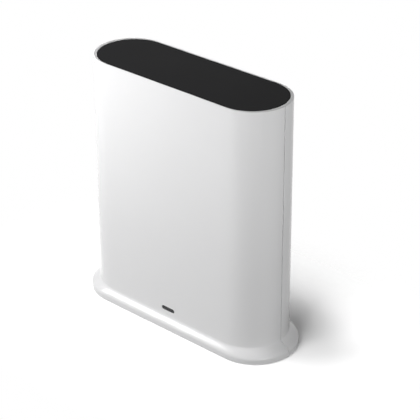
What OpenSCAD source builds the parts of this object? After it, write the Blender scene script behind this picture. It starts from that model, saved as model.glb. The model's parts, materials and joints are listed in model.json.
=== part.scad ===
// Base station for a set of security cameras: a slim upright hub on a flared foot.
// Two white housing halves meet at a vertical line on each round end.
// A dark panel closes the top and a plate closes the foot.
// The front faces -Y, the ports face +Y, and the hub stands on the plane Z = 0.

/* [Housing] */
// Height from the table to the top of the rim
body_h = 130.5; // [122:0.5:150]
// Length of the rim over its round ends
rim_len = 111.4; // [106:0.2:130]
// Depth of the rim from front to back
rim_dep = 36.6; // [36:0.2:42]
// How far each side leans out from the rim down to the table
draft = 1.1; // [0.5:0.1:2]
// Thickness of the housing walls
wall = 2.4; // [2:0.1:2.8]
// Width of the line where the two halves meet
seam_w = 0.7; // [0.2:0.1:0.8]
// Depth of the line where the two halves meet
seam_d = 0.8; // [0.2:0.1:1]

/* [Flared foot] */
// How far the foot reaches out past the wall at each end
flare_end = 5.35; // [4:0.05:7]
// How far the foot reaches out past the wall at the front and back
flare_side = 2.6; // [2:0.05:4]
// Height at which the wall starts to flare
flare_h = 7.5; // [7:0.5:8]
// Height of the upright lip of the foot
lip_h = 2.2; // [2.2:0.1:3]
// Thickness of the plate that closes the foot
base_plate_t = 2; // [1.8:0.1:2.2]
// Radius of each rubber foot
foot_r = 5.5; // [5:0.1:6]
// Thickness of each rubber foot
foot_t = 1.2; // [1:0.1:1.4]
// How far the rubber feet stand out under the lip
foot_drop = 0.5; // [0.3:0.1:0.6]

/* [Top panel] */
// Thickness of the dark top panel
panel_t = 2; // [1.6:0.1:2.4]
// Width of the white rim round the panel at the two ends
panel_end_rim = 1.9; // [1.5:0.05:2]
// Width of the white rim round the panel at the front and back
panel_side_rim = 0.75; // [0.5:0.05:1.2]
// Gap round the edge of the panel
panel_gap = 0.15; // [0.1:0.05:0.25]

/* [Status light] */
// Length of the slot for the status light
light_w = 8.3; // [5:0.1:10]
// Height of the slot for the status light
light_h = 2.3; // [1.4:0.1:2.4]
// Sideways place of the status light
light_x = 1; // [-10:0.5:10]
// Height of the middle of the status light
light_z = 10.6; // [10.2:0.1:12]

/* [Ports] */
// Width of the window for the port plate
port_w = 70; // [68:1:74]
// Height of the window for the port plate
port_h = 24; // [22:1:26]
// Height of the middle of the ports
port_z = 25; // [24:0.5:28]
// How far the port plate lies inside the rear wall
port_recess = 1; // [0.5:0.1:1.4]
// Sideways place of the power inlet
dc_x = 26; // [24:0.5:28]
// Sideways place of the network port
ethernet_x = 8.5; // [7:0.5:10]
// Sideways place of the storage port
usb_x = -10; // [-11:0.5:-9]
// Sideways place of the sync button and the reset pinhole
button_x = -26; // [-28:0.5:-25]
// Radius of the sync button
button_r = 4; // [3:0.1:4.5]
// Travel of the sync button
button_travel = 0.5; // [0.3:0.1:0.8]
// Radius of the reset pinhole
pinhole_r = 0.8; // [0.6:0.1:1]
// Travel of the reset plunger
reset_travel = 0.3; // [0.2:0.1:0.4]

/* [Board] */
// Thickness of the circuit board
board_t = 1.6; // [1:0.2:2]
// Place of the front face of the board, measured from the middle
board_y = 0.8; // [0.4:0.1:1.2]
// Height of the lower edge of the board
board_z = 7.5; // [6.5:0.5:8]
// Space between the board and the end walls
board_side_gap = 4.2; // [4:0.1:6]
// Space between the board and the rim
board_top_gap = 19; // [18:0.5:22]
// Height of the band at the top of the board that holds the radios
radio_band = 28; // [28:0.5:30]

/* [Hidden] */
$fn = 48;

// Colours as the photo shows them, and usual ones inside
white = [0.93, 0.93, 0.93];
black = [0.13, 0.13, 0.14];
smoke = [0.2, 0.2, 0.22];
rubber = [0.2, 0.2, 0.2];
steel = [0.72, 0.73, 0.75];
gold = [0.85, 0.7, 0.35];
board_green = [0.08, 0.3, 0.2];
clear = [0.9, 0.93, 0.95];

// Clearances and small shared sizes
slip = 0.2;         // room round a piece that sits in an opening
run_gap = 0.3;      // room round a moving piece
seat_gap = 0.05;    // room where a flat piece lies against a leaning wall
over = 1;           // how far a cutting shape reaches past a face
sink = 0.5;         // how far a rib or post grows into its wall
end_steps = 16;     // facets in each quarter of a round end
flare_steps = 8;    // facets up the flare

// Housing surface: half lengths and half depths at any height
lip_top = foot_drop + lip_h;
end_x = (rim_len - rim_dep) / 2;
function lean(z) = draft * (1 - z / body_h);
function flare(z) =
  z <= lip_top ? 1 : z >= flare_h ? 0 : (1 + cos(180 * (z - lip_top) / (flare_h - lip_top))) / 2;
function half_len(z) = rim_len / 2 + lean(z) + flare_end * flare(z);
function half_dep(z) = rim_dep / 2 + lean(z) + flare_side * flare(z);
function inner_dep(z) = half_dep(z) - wall;
function inner_len(z) = half_len(z) - wall;
flare_levels = [for (i = [0 : flare_steps]) lip_top + (flare_h - lip_top) * i / flare_steps];
outer_levels = concat([foot_drop], flare_levels, [body_h]);
inner_levels = concat([foot_drop - over], flare_levels, [body_h + over]);

// Base plate, its screws and the bosses that take them
base_top = foot_drop + base_plate_t;
head_r = 2.8;
head_h = 1.8;
shank_r = 1.45;
shank_len = 9.5;
head_top = foot_t + slip + head_h;
cup_wall = 1.4;
cup_top = head_top + cup_wall;
cup_r = head_r + slip + cup_wall;
boss_r = 3.25;
boss_h = shank_len + 2;
boss_reach = inner_dep(cup_top + boss_h) - boss_r + sink;
boss_x = end_x + boss_reach * cos(45);
boss_y = boss_reach * sin(45);
vent_w = 1.8;
vent_pitch = 5;
base_vents = 5;
base_vent_len = 18;

// Top panel and its snap legs
panel_z = body_h - panel_t;
leg_x = 24;
leg_w = 8;
leg_t = 1.4;
leg_len = 8;
catch_d = 0.8;
catch_h = 1.4;
barb_h = 2;         // height of the barb at the foot of a leg
catch_z = panel_z - leg_len + barb_h + slip;
leg_face = inner_dep(panel_z) - catch_d - slip;

// Snap tabs that hold the two halves together at the ends
tab_zs = [30, 65, 100];
tab_h = 8;
tab_t = 1.4;
tab_reach = 4.2;
tab_root = 5;
barb = 0.6;
barb_len = 1.6;
function end_wall_x(y, z) = end_x + sqrt(pow(inner_dep(z), 2) - y * y);
function tab_face(z) = end_wall_x(tab_reach, z + tab_h / 2) - slip - barb;

// Board
board_back = board_y + board_t;
board_top = body_h - board_top_gap;
board_half_w = inner_len(board_top) - board_side_gap;
board_corner = 3;
post_r = 3;
post_out = 4.6;     // posts past the centres of the round ends
post_drop = 5;      // lower posts under the middle of the ports
post_inset = 11;    // upper posts under the top edge of the board
post_x = end_x + post_out;
post_zs = [port_z - post_drop, board_top - post_inset];
post_hole = 9;
board_screw_r = 1.2;
board_screw_len = 8;
board_head_r = 2.5;
board_head_h = 1.6;
hole_room = 0.1;

// Vent slots in the rear wall
rear_vents = 5;
rear_vent_h = 18;
rear_vent_drop = 12;
rear_vent_z = board_top - rear_vent_drop;

// Status light
lens_flange_t = 0.8;
lens_flange = 1;
lens_recess = 0.1;
lens_back = -inner_dep(light_z) + seat_gap + lens_flange_t;
led_w = 3.5;
led_h = 2.8;
led_t = 0.8;

// Port plate and what looks out of it
port_corner = 4;
flange = 2;
flange_t = 1.2;
port_seat = inner_dep(port_z + port_h / 2 + flange) - seat_gap;
port_face = half_dep(port_z + port_h / 2) - port_recess;
jack_face = port_face - slip;
switch_w = 6;
switch_h = 3.5;
button_up = 5;
pinhole_down = 6.5;
button_z = port_z + button_up;
pinhole_z = port_z - pinhole_down;
switch_floor = 0.8;
switch_lid = 0.7;
plunger_r = 1.7;
plunger_rim = 0.6;
button_rise = 0.6;
button_lip = 1.2;
button_lip_t = 1;
stem_r = 2.2;
sync_plunger_len = 3;
reset_plunger_len = 8;

// Network port
jack_w = 16;
jack_h = 13.6;
sheet = 0.35;
plug_w = 11.9;
plug_h = 7;
plug_deep = 12;
latch_w = 6.4;
latch_h = 2.6;
contact_pitch = 1.02;
contact_count = 8;
contact_w = 0.5;
contact_t = 0.35;
contact_len = 9.5;
contact_tilt = 14;
contact_slot = 1.8;
contact_front = jack_face - over - hole_room;
plug_up = 0.6;
plug_z = port_z + plug_up;
plug_roof = plug_z + plug_h / 2;
function contact_x(i) = ethernet_x + contact_pitch * (i - (contact_count - 1) / 2);
transformer_w = 12.7;
transformer_h = 9.5;
transformer_t = 5.6;
transformer_z = port_z + jack_h / 2 + transformer_h;

// Storage port
usb_w = 13.2;
usb_h = 5.9;
tongue_w = 11.1;
tongue_t = 1.84;
tongue_len = 9;
tongue_rise = 0.7;
tongue_z = port_z + usb_h / 2 - sheet - tongue_t / 2 - tongue_rise;
tongue_recess = 1.5;
tongue_face = jack_face - tongue_recess;
usb_pitch = 2.2;
usb_contact_w = 1;
usb_contact_t = 0.3;

// Power inlet
dc_body_w = 10;
dc_nose_r = 4.6;
dc_bore_r = 3.2;
dc_bore_deep = 9.5;
dc_pin_r = 1.05;
dc_pin_len = 8.5;
dc_nose_len = 4;
spring_t = 0.4;
spring_w = 2.4;

// Chips, cooling and radios
soc_w = 21;
soc_t = 1.6;
pad_t = 1;
sink_base = 2;
sink_fin_w = 44;
sink_ear = 5;       // flange past the fins at each side, for a pin
sink_w = sink_fin_w + 2 * sink_ear;
fin_t = 1.2;
fin_count = 9;
fin_h = 8;
sink_clear = 5;
sink_z0 = port_z + port_h / 2 + sink_clear;
sink_z1 = board_top - radio_band - over;
soc_z = (sink_z0 + sink_z1) / 2;
soc_x = -6;
pad_y = board_y - soc_t;
sink_y = pad_y - pad_t;
fin_y = sink_y - sink_base;
pin_r = 1.4;
pin_off = (sink_fin_w + sink_ear) / 2;
pin_head_r = 2.4;
pin_head_t = 1.2;
can_t = 0.4;
can_d = 3;
can_h = 20;
can_z = board_top - radio_band + can_h / 2 + over;
wifi_can_w = 26;
hub_can_w = 24;
can_x = 24;
radio_chip_w = 7;
chip_t = 0.9;
memory_w = 10;
memory_h = 9;
memory_x = soc_x + soc_w / 2 + memory_w / 2 + 2;
memory_pitch = 12;
flash_w = 8;
flash_h = 6;
// Column of small parts on the right of the board, clear of the heat sink
side_gap = 5;
side_x = soc_x + sink_w / 2 + side_gap;
side_pitch = 9;
flash_z = sink_z0 + 9;
regulator_w = 6;
regulator_h = 5;
regulator_z = port_z + 11;
inductor_w = 7;
inductor_t = 3.5;
inductor_z = port_z + 1;
inductor_corner = 1;
crystal_w = 3.2;
crystal_h = 2.5;
capacitor_r = 3.15;
capacitor_h = 7.7;
capacitor_z = port_z + 18;
passive_w = 0.8;
passive_len = 1.6;
passive_pitch = 3;
passive_count = 7;
passive_gap = 2.5;

// Antennas and their leads
antenna_len = 32;
antenna_w = 8;
antenna_t = 0.8;
antenna_x = 29;
antenna_y = -2;
tape_t = 0.5;
tape_len = antenna_len - 2;
tape_w = antenna_w - 2;
antenna_z = panel_z - tape_t - antenna_t;
coax_r = 0.6;
coax_sides = 8;
plug_r = 1.3;
plug_t = 1.4;
plug_drop = 4;
plug_rise = board_top - plug_drop;
left_plug_x = -33;
right_plug_x = -15;
// Lead routes from the plugs to the antennas, with heights above the top edge of the board
left_route = [
  [-33, 0, -2.5], [-33, -0.4, -1], [-33, -1.4, 2], [-32, -2.4, 6], [-30, -2.4, 10], [-29, -2, 13],
  [-29, -2, 15.6]
];
right_route = [
  [-15, 0, -2.5], [-15, -0.4, -1], [-13, -1.6, 1.4], [-9, -3, 3], [-2, -4, 5], [6, -4, 6],
  [14, -3.8, 7], [22, -3.2, 8.4], [27, -2.6, 10.6], [29, -2, 13], [29, -2, 15.6]
];
// Stamped antenna on the board
strip_x = 16;
strip_len = 28;
strip_h = 2;
strip_t = 0.4;
strip_stand = 5;
strip_leg = 2;
strip_leg_pitch = 6;
strip_drop = 3;

// Shared shapes

// Outline with round ends, centred
module stadium(half_l, half_d) {
  union() {
    square([2 * (half_l - half_d), 2 * half_d], center = true);
    for (side = [-1, 1])
      translate([side * (half_l - half_d), 0])
        circle(r = half_d, $fn = 96);
  }
}

// Rectangle with rounded corners, centred
module round_rect(w, h, r) {
  union() {
    square([w - 2 * r, h], center = true);
    square([w, h - 2 * r], center = true);
    for (sx = [-1, 1], sy = [-1, 1])
      translate([sx * (w / 2 - r), sy * (h / 2 - r)])
        circle(r = r);
  }
}

// Rod along Y between two depths
module rod(x, z, r, y0, y1) {
  translate([x, y1, z])
    rotate([90, 0, 0])
      cylinder(h = y1 - y0, r = r);
}

// Block along Y between two depths, centred at x and z
module block(x, z, w, h, y0, y1) {
  translate([x - w / 2, y0, z - h / 2])
    cube([w, y1 - y0, h]);
}

// Rounded block along Y between two depths
module round_block(x, z, w, h, r, y0, y1) {
  translate([x, y1, z])
    rotate([90, 0, 0])
      linear_extrude(y1 - y0)
        round_rect(w, h, r);
}

// Slot with round ends along Y between two depths
module slot(x, z, w, h, y0, y1) {
  translate([x, y1, z])
    rotate([90, 0, 0])
      linear_extrude(y1 - y0)
        stadium(w / 2, h / 2);
}

// One half ring of the housing at a height, set in from the outer surface
function half_ring(z, inset, past) =
  let (r = half_dep(z) - inset, x = half_len(z) - half_dep(z))
    concat(
      past > 0 ? [[x + r, -past, z]] : [],
      [for (i = [0 : end_steps]) [x + r * cos(90 * i / end_steps), r * sin(90 * i / end_steps), z]],
      [for (i = [0 : end_steps]) [-x - r * sin(90 * i / end_steps), r * cos(90 * i / end_steps), z]],
      past > 0 ? [[-x - r, -past, z]] : []
    );

// Solid half of the housing between half rings, on the +Y side
module half_loft(levels, inset, past = 0) {
  rings = [for (z = levels) half_ring(z, inset, past)];
  n = len(rings[0]);
  last = len(levels) - 1;
  floor_face = [for (i = [0 : n - 1]) i];
  roof_face = [for (i = [n - 1 : -1 : 0]) last * n + i];
  sides = [
    for (k = [0 : last - 1], i = [0 : n - 1])
      let (j = (i + 1) % n)
        [k * n + i, (k + 1) * n + i, (k + 1) * n + j, k * n + j]
  ];
  polyhedron([for (ring = rings) each ring], concat([floor_face], sides, [roof_face]));
}

// Fine groove that shows where the halves meet, cut into the end walls
module seam_cut() {
  profile = concat(
    [for (z = outer_levels) [half_len(z) + over, z]],
    [for (i = [len(outer_levels) - 1 : -1 : 0]) [half_len(outer_levels[i]) - seam_d, outer_levels[i]]]
  );
  for (side = [0, 1])
    mirror([side, 0, 0])
      translate([0, seam_w / 2, 0])
        rotate([90, 0, 0])
          linear_extrude(seam_w / 2 + over)
            polygon(profile);
}

// Boss that takes one base screw, grown onto a round end
module base_boss() {
  translate([boss_x, boss_y, cup_top])
    cylinder(h = boss_h, r = boss_r);
}

// Catch on the inner wall for one snap leg of the top panel
module leg_catch() {
  translate([leg_x - leg_w / 2, inner_dep(catch_z) - catch_d, catch_z])
    cube([leg_w, catch_d + sink, catch_h]);
}

// Housing half on the +Y side: wall, panel seat, bosses and catches
module half_shell() {
  difference() {
    union() {
      difference() {
        half_loft(outer_levels, 0);
        half_loft(inner_levels, wall, over);
        translate([0, 0, panel_z])
          linear_extrude(panel_t + over)
            stadium(
              rim_len / 2 - panel_end_rim + panel_gap,
              rim_dep / 2 - panel_side_rim + panel_gap
            );
        seam_cut();
      }
      for (side = [0, 1])
        mirror([side, 0, 0]) {
          base_boss();
          leg_catch();
        }
    }
    for (side = [-1, 1])
      translate([side * boss_x, boss_y, cup_top - over])
        cylinder(h = shank_len + over, r = shank_r + hole_room);
  }
}

// Housing

module front_shell() {
  color(white) {
    difference() {
      union() {
        mirror([0, 1, 0])
          half_shell();
        for (z = tab_zs, side = [0, 1])
          mirror([side, 0, 0])
            snap_tab(z);
      }
      slot(light_x, light_z, light_w, light_h, -half_dep(light_z) - over, -inner_dep(light_z) + over);
    }
  }
}

// Tab with a barb that reaches from the front half into the rear half
module snap_tab(z) {
  face = tab_face(z);
  translate([face - tab_t, -tab_root, z - tab_h / 2])
    cube([tab_t, tab_root + tab_reach, tab_h]);
  translate([face - tab_t, -tab_root, z - tab_h / 2])
    cube([inner_len(z) - face + tab_t + sink, tab_root - sink, tab_h]);
  translate([face - sink, tab_reach - barb_len, z - tab_h / 2])
    cube([barb + sink, barb_len, tab_h]);
}

// Ledge in the rear half that a barb snaps behind
module tab_catch(z) {
  face = tab_face(z) + slip;
  depth = tab_reach - barb_len - slip;
  translate([face, depth - catch_h, z - tab_h / 2])
    cube([inner_len(z) - face + sink, catch_h, tab_h]);
}

module rear_shell() {
  color(white) {
    difference() {
      union() {
        half_shell();
        for (z = tab_zs, side = [0, 1])
          mirror([side, 0, 0])
            tab_catch(z);
        for (x = [-post_x, post_x], z = post_zs)
          rod(x, z, post_r, board_back, inner_dep(z) + sink / 2);
      }
      round_block(
        0, port_z, port_w + 2 * slip, port_h + 2 * slip, port_corner + slip,
        inner_dep(port_z) - over, half_dep(port_z) + over
      );
      for (x = [-post_x, post_x], z = post_zs)
        rod(x, z, board_screw_r + hole_room, board_back - over, board_back + post_hole);
      for (i = [-rear_vents : rear_vents])
        slot_up(i * vent_pitch, rear_vent_z, vent_w, rear_vent_h, inner_dep(rear_vent_z) - over,
          half_dep(rear_vent_z) + over);
    }
  }
}

// Upright slot with round ends along Y between two depths
module slot_up(x, z, w, h, y0, y1) {
  translate([x, y1, z])
    rotate([90, 0, 0])
      linear_extrude(y1 - y0)
        rotate(90)
          stadium(h / 2, w / 2);
}

module top_panel() {
  color(black) {
    translate([0, 0, panel_z])
      linear_extrude(panel_t)
        stadium(rim_len / 2 - panel_end_rim, rim_dep / 2 - panel_side_rim);
    for (sx = [0, 1], sy = [0, 1])
      mirror([sx, 0, 0])
        mirror([0, sy, 0])
          panel_leg();
  }
}

// Snap leg under the top panel
module panel_leg() {
  translate([leg_x - leg_w / 2, leg_face - leg_t, panel_z - leg_len])
    cube([leg_w, leg_t, leg_len + sink]);
  translate([leg_x - leg_w / 2, leg_face - leg_t, panel_z - leg_len])
    cube([leg_w, leg_t + catch_d - slip, barb_h]);
}

module base_plate() {
  plate_half_len = inner_len(base_top) - slip;
  plate_half_dep = inner_dep(base_top) - slip;
  color(white) {
    difference() {
      union() {
        translate([0, 0, foot_drop])
          linear_extrude(base_plate_t)
            stadium(plate_half_len, plate_half_dep);
        for (sx = [-1, 1], sy = [-1, 1])
          translate([sx * boss_x, sy * boss_y, foot_drop])
            cylinder(h = cup_top - foot_drop, r = cup_r);
      }
      for (sx = [-1, 1], sy = [-1, 1])
        translate([sx * boss_x, sy * boss_y, 0]) {
          translate([0, 0, foot_drop - over])
            cylinder(h = foot_t - foot_drop + over, r = foot_r + slip);
          translate([0, 0, foot_drop])
            cylinder(h = head_top - foot_drop, r = head_r + slip);
          cylinder(h = cup_top + over, r = shank_r + slip);
        }
      for (i = [-base_vents : base_vents])
        translate([i * vent_pitch, 0, foot_drop - over])
          linear_extrude(base_plate_t + 2 * over)
            rotate(90)
              stadium(base_vent_len / 2, vent_w / 2);
    }
  }
}

module rubber_feet() {
  color(rubber)
    for (sx = [-1, 1], sy = [-1, 1])
      translate([sx * boss_x, sy * boss_y, 0])
        cylinder(h = foot_t, r = foot_r);
}

module base_screws() {
  color(steel)
    for (sx = [-1, 1], sy = [-1, 1])
      translate([sx * boss_x, sy * boss_y, head_top - head_h]) {
        cylinder(h = head_h, r = head_r);
        cylinder(h = head_h + cup_wall + shank_len - over, r = shank_r);
      }
}

// Status light

module status_lens() {
  color(smoke) {
    slot(light_x, light_z, light_w - slip, light_h - slip,
      -half_dep(light_z + light_h / 2) + lens_recess, lens_back);
    round_block(light_x, light_z, light_w + 2 * lens_flange, light_h + 2 * lens_flange, lens_flange,
      lens_back - lens_flange_t, lens_back);
  }
}

module light_guide() {
  color(clear)
    round_block(light_x, light_z, light_w - 2 * slip, light_h, light_h / 4, lens_back, board_y - led_t);
}

module status_led() {
  color("white")
    block(light_x, light_z, led_w, led_h, board_y - led_t, board_y);
}

// Ports and buttons

module port_plate() {
  color(black) {
    difference() {
      union() {
        round_block(0, port_z, port_w, port_h, port_corner, port_seat - flange_t, port_face);
        round_block(0, port_z, port_w + 2 * flange, port_h + 2 * flange, port_corner + flange,
          port_seat - flange_t, port_seat);
      }
      y0 = port_seat - flange_t - over;
      y1 = port_face + over;
      block(ethernet_x, port_z, jack_w + 2 * slip, jack_h + 2 * slip, y0, y1);
      block(usb_x, port_z, usb_w + 2 * slip, usb_h + 2 * slip, y0, y1);
      rod(dc_x, port_z, dc_nose_r + slip, y0, y1);
      rod(button_x, button_z, button_r + run_gap, y0, y1);
      rod(button_x, pinhole_z, pinhole_r, y0, y1);
    }
  }
}

module sync_button() {
  lip_y = port_seat - flange_t - hole_room;
  color(white) {
    rod(button_x, button_z, button_r, lip_y - button_lip_t, port_face + button_rise);
    rod(button_x, button_z, button_r + button_lip, lip_y - button_lip_t, lip_y);
    rod(button_x, button_z, stem_r, board_back + switch_h + sync_plunger_len, lip_y);
  }
}

// Moving plunger of a push switch, with a rim that keeps it in the switch
module plunger(z, travel, rise) {
  color(black) {
    rod(button_x, z, plunger_r, board_back + switch_floor + travel + run_gap,
      board_back + switch_h + rise);
    rod(button_x, z, plunger_r + plunger_rim, board_back + switch_floor + travel + run_gap,
      board_back + switch_h - switch_lid - hole_room);
  }
}

// Fixed body of a push switch, hollow round the plunger's rim
module push_switch(z) {
  color(steel) {
    difference() {
      block(button_x, z, switch_w, switch_w, board_back, board_back + switch_h);
      rod(button_x, z, plunger_r + plunger_rim + run_gap, board_back + switch_floor,
        board_back + switch_h - switch_lid);
      rod(button_x, z, plunger_r + run_gap, board_back + switch_h / 2, board_back + switch_h + over);
    }
  }
}

module sync_plunger() {
  plunger(button_z, button_travel, sync_plunger_len);
}

module sync_switch() {
  push_switch(button_z);
}

module reset_plunger() {
  plunger(pinhole_z, reset_travel, reset_plunger_len);
}

module reset_switch() {
  push_switch(pinhole_z);
}

module ethernet_shell() {
  color(steel) {
    difference() {
      block(ethernet_x, port_z, jack_w, jack_h, board_back, jack_face);
      block(ethernet_x, port_z, jack_w - 2 * sheet, jack_h - 2 * sheet, board_back - over, jack_face + over);
    }
  }
}

module ethernet_insert() {
  color(black) {
    difference() {
      block(ethernet_x, port_z, jack_w - 2 * sheet, jack_h - 2 * sheet, board_back, jack_face - sheet);
      block(ethernet_x, plug_z, plug_w, plug_h, jack_face - plug_deep, jack_face + over);
      block(ethernet_x, plug_z - (plug_h + latch_h) / 2, latch_w, latch_h + hole_room,
        jack_face - plug_deep, jack_face + over);
      for (i = [0 : contact_count - 1])
        block(contact_x(i), plug_roof, contact_w + 2 * hole_room, 2 * contact_slot,
          jack_face - plug_deep, jack_face - over);
    }
  }
}

// Spring wires that slope down from slots in the roof of the network port
module ethernet_contacts() {
  color(gold)
    for (i = [0 : contact_count - 1])
      translate([contact_x(i) - contact_w / 2, contact_front, plug_roof + contact_slot - hole_room])
        rotate([contact_tilt, 0, 0])
          translate([0, -contact_len, -contact_t])
            cube([contact_w, contact_len, contact_t]);
}

module usb_shell() {
  color(steel) {
    difference() {
      block(usb_x, port_z, usb_w, usb_h, board_back, jack_face);
      block(usb_x, port_z, usb_w - 2 * sheet, usb_h - 2 * sheet, board_back - over, jack_face + over);
    }
  }
}

// Insulator at the foot of the storage port, with its tongue
module usb_tongue() {
  color("white") {
    block(usb_x, port_z, usb_w - 2 * sheet, usb_h - 2 * sheet, board_back, tongue_face - tongue_len);
    block(usb_x, tongue_z, tongue_w, tongue_t, board_back, tongue_face);
  }
}

module usb_contacts() {
  color(gold)
    for (i = [-1.5 : 1.5])
      block(usb_x + i * usb_pitch, tongue_z - (tongue_t + usb_contact_t) / 2, usb_contact_w, usb_contact_t,
        tongue_face - tongue_len, tongue_face - over);
}

module dc_jack_body() {
  color(black) {
    difference() {
      union() {
        block(dc_x, port_z, dc_body_w, dc_body_w, board_back, jack_face - dc_nose_len);
        rod(dc_x, port_z, dc_nose_r, board_back, jack_face);
      }
      rod(dc_x, port_z, dc_bore_r, jack_face - dc_bore_deep, jack_face + over);
      block(dc_x, port_z - dc_bore_r, spring_w + 2 * hole_room, 2 * (spring_t + hole_room),
        jack_face - dc_bore_deep, jack_face - dc_nose_len);
    }
  }
}

module dc_jack_pin() {
  color(steel)
    rod(dc_x, port_z, dc_pin_r, jack_face - dc_bore_deep, jack_face - dc_bore_deep + dc_pin_len);
}

module dc_jack_spring() {
  color(gold)
    translate([dc_x - spring_w / 2, jack_face - dc_bore_deep, port_z - dc_bore_r - spring_t])
      cube([spring_w, dc_bore_deep - dc_nose_len - run_gap, spring_t]);
}

module ethernet_transformer() {
  color(black)
    block(ethernet_x, transformer_z, transformer_w, transformer_h, board_back, board_back + transformer_t);
}

// Board and what it carries

module main_board() {
  color(board_green) {
    difference() {
      round_block(0, (board_z + board_top) / 2, 2 * board_half_w, board_top - board_z, board_corner,
        board_y, board_back);
      for (x = [-post_x, post_x], z = post_zs)
        rod(x, z, board_screw_r + slip, board_y - over, board_back + over);
      for (side = [-1, 1])
        rod(soc_x + side * pin_off, soc_z, pin_r + slip, board_y - over, board_back + over);
    }
  }
}

module board_screws() {
  color(steel)
    for (x = [-post_x, post_x], z = post_zs) {
      rod(x, z, board_head_r, board_y - board_head_h, board_y);
      rod(x, z, board_screw_r, board_y - board_head_h, board_y + board_screw_len);
    }
}

module soc_chip() {
  color(black)
    block(soc_x, soc_z, soc_w, soc_w, board_y - soc_t, board_y);
}

module thermal_pad() {
  color([0.55, 0.6, 0.7])
    block(soc_x, soc_z, soc_w - over, soc_w - over, sink_y, pad_y);
}

module heat_sink() {
  sink_h = sink_z1 - sink_z0;
  color(steel) {
    difference() {
      union() {
        block(soc_x, soc_z, sink_w, sink_h, fin_y, sink_y);
        for (i = [0 : fin_count - 1])
          block(soc_x - sink_fin_w / 2 + fin_t / 2 + i * (sink_fin_w - fin_t) / (fin_count - 1), soc_z, fin_t,
            sink_h, fin_y - fin_h, fin_y + over);
      }
      for (side = [-1, 1])
        rod(soc_x + side * pin_off, soc_z, pin_r + slip, fin_y - over, sink_y + over);
    }
  }
}

module heat_sink_pins() {
  color(black)
    for (side = [-1, 1]) {
      x = soc_x + side * pin_off;
      rod(x, soc_z, pin_head_r, fin_y - pin_head_t, fin_y);
      rod(x, soc_z, pin_r, fin_y - pin_head_t, board_back + over);
      rod(x, soc_z, pin_r + 2 * slip, board_back, board_back + over);
    }
}

module memory_chips() {
  color(black)
    for (side = [-1, 1])
      block(memory_x, soc_z + side * memory_pitch / 2, memory_w, memory_h, board_y - chip_t, board_y);
}

module flash_chip() {
  color(black)
    block(side_x + side_pitch / 2, flash_z, flash_w, flash_h, board_y - chip_t, board_y);
}

module radio_chips() {
  color(black)
    for (side = [-1, 1])
      block(side * can_x, can_z, radio_chip_w, radio_chip_w, board_y - chip_t, board_y);
}

module regulator_chips() {
  color(black)
    for (i = [0, 1])
      block(side_x + side_pitch * i, regulator_z, regulator_w, regulator_h, board_y - chip_t, board_y);
}

module power_inductors() {
  color([0.35, 0.35, 0.37])
    for (i = [0, 1])
      round_block(side_x + side_pitch * i, inductor_z, inductor_w, inductor_w, inductor_corner,
        board_y - inductor_t, board_y);
}

module crystals() {
  color(steel)
    for (i = [0, 1])
      block(side_x + side_pitch * i, soc_z, crystal_w, crystal_h, board_y - chip_t, board_y);
}

module chip_passives() {
  color([0.7, 0.6, 0.45])
    for (i = [0 : passive_count - 1], side = [-1, 1])
      block(soc_x + passive_pitch * (i - (passive_count - 1) / 2), soc_z + side * (soc_w / 2 + passive_gap),
        passive_w, passive_len, board_y - passive_w, board_y);
}

module capacitors() {
  color(steel)
    for (i = [0, 1])
      rod(side_x + side_pitch * i, capacitor_z, capacitor_r, board_back, board_back + capacitor_h);
}

// Screening can, open towards the board
module can(x, w) {
  color(steel) {
    difference() {
      block(x, can_z, w, can_h, board_y - can_d, board_y);
      block(x, can_z, w - 2 * can_t, can_h - 2 * can_t, board_y - can_d + can_t, board_y + over);
    }
  }
}

module wifi_shield() {
  can(-can_x, wifi_can_w);
}

module hub_radio_shield() {
  can(can_x, hub_can_w);
}

// Antennas

module antenna(side) {
  color(board_green)
    translate([side * antenna_x - antenna_len / 2, antenna_y - antenna_w / 2, antenna_z])
      cube([antenna_len, antenna_w, antenna_t]);
}

module wifi_antenna_left() {
  antenna(-1);
}

module wifi_antenna_right() {
  antenna(1);
}

module antenna_tapes() {
  color(white)
    for (side = [-1, 1])
      translate([side * antenna_x - tape_len / 2, antenna_y - tape_w / 2, panel_z - tape_t])
        cube([tape_len, tape_w, tape_t]);
}

module coax_plugs() {
  color(gold)
    for (x = [left_plug_x, right_plug_x])
      rod(x, plug_rise, plug_r, board_y - plug_t, board_y);
}

// Round lead swept along its route
function unit(v) = v / norm(v);
module lead(route) {
  path = [for (p = route) [p[0], p[1], board_top + p[2]]];
  last = len(path) - 1;
  rings = [
    for (i = [0 : last])
      let (
        ahead = unit(path[min(i + 1, last)] - path[max(i - 1, 0)]),
        across = unit(cross(ahead, [0.3, 1, 0.1])),
        third = cross(ahead, across)
      )
        [
          for (k = [0 : coax_sides - 1])
            path[i] + coax_r * (across * cos(360 * k / coax_sides) + third * sin(360 * k / coax_sides))
        ]
  ];
  n = coax_sides;
  start_face = [for (k = [n - 1 : -1 : 0]) k];
  end_face = [for (k = [0 : n - 1]) last * n + k];
  sides = [
    for (i = [0 : last - 1], k = [0 : n - 1])
      let (j = (k + 1) % n)
        [i * n + k, i * n + j, (i + 1) * n + j, (i + 1) * n + k]
  ];
  polyhedron([for (ring = rings) each ring], concat([start_face], sides, [end_face]));
}

module antenna_cable_left() {
  color(black)
    lead(left_route);
}

module antenna_cable_right() {
  color(black)
    lead(right_route);
}

module hub_radio_antenna() {
  color(gold)
    translate([strip_x, board_y - strip_stand, board_top - strip_drop]) {
      cube([strip_len, strip_t, strip_h]);
      for (x = [0, strip_leg_pitch])
        translate([x, 0, 0])
          cube([strip_leg, strip_stand, strip_t]);
    }
}

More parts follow.
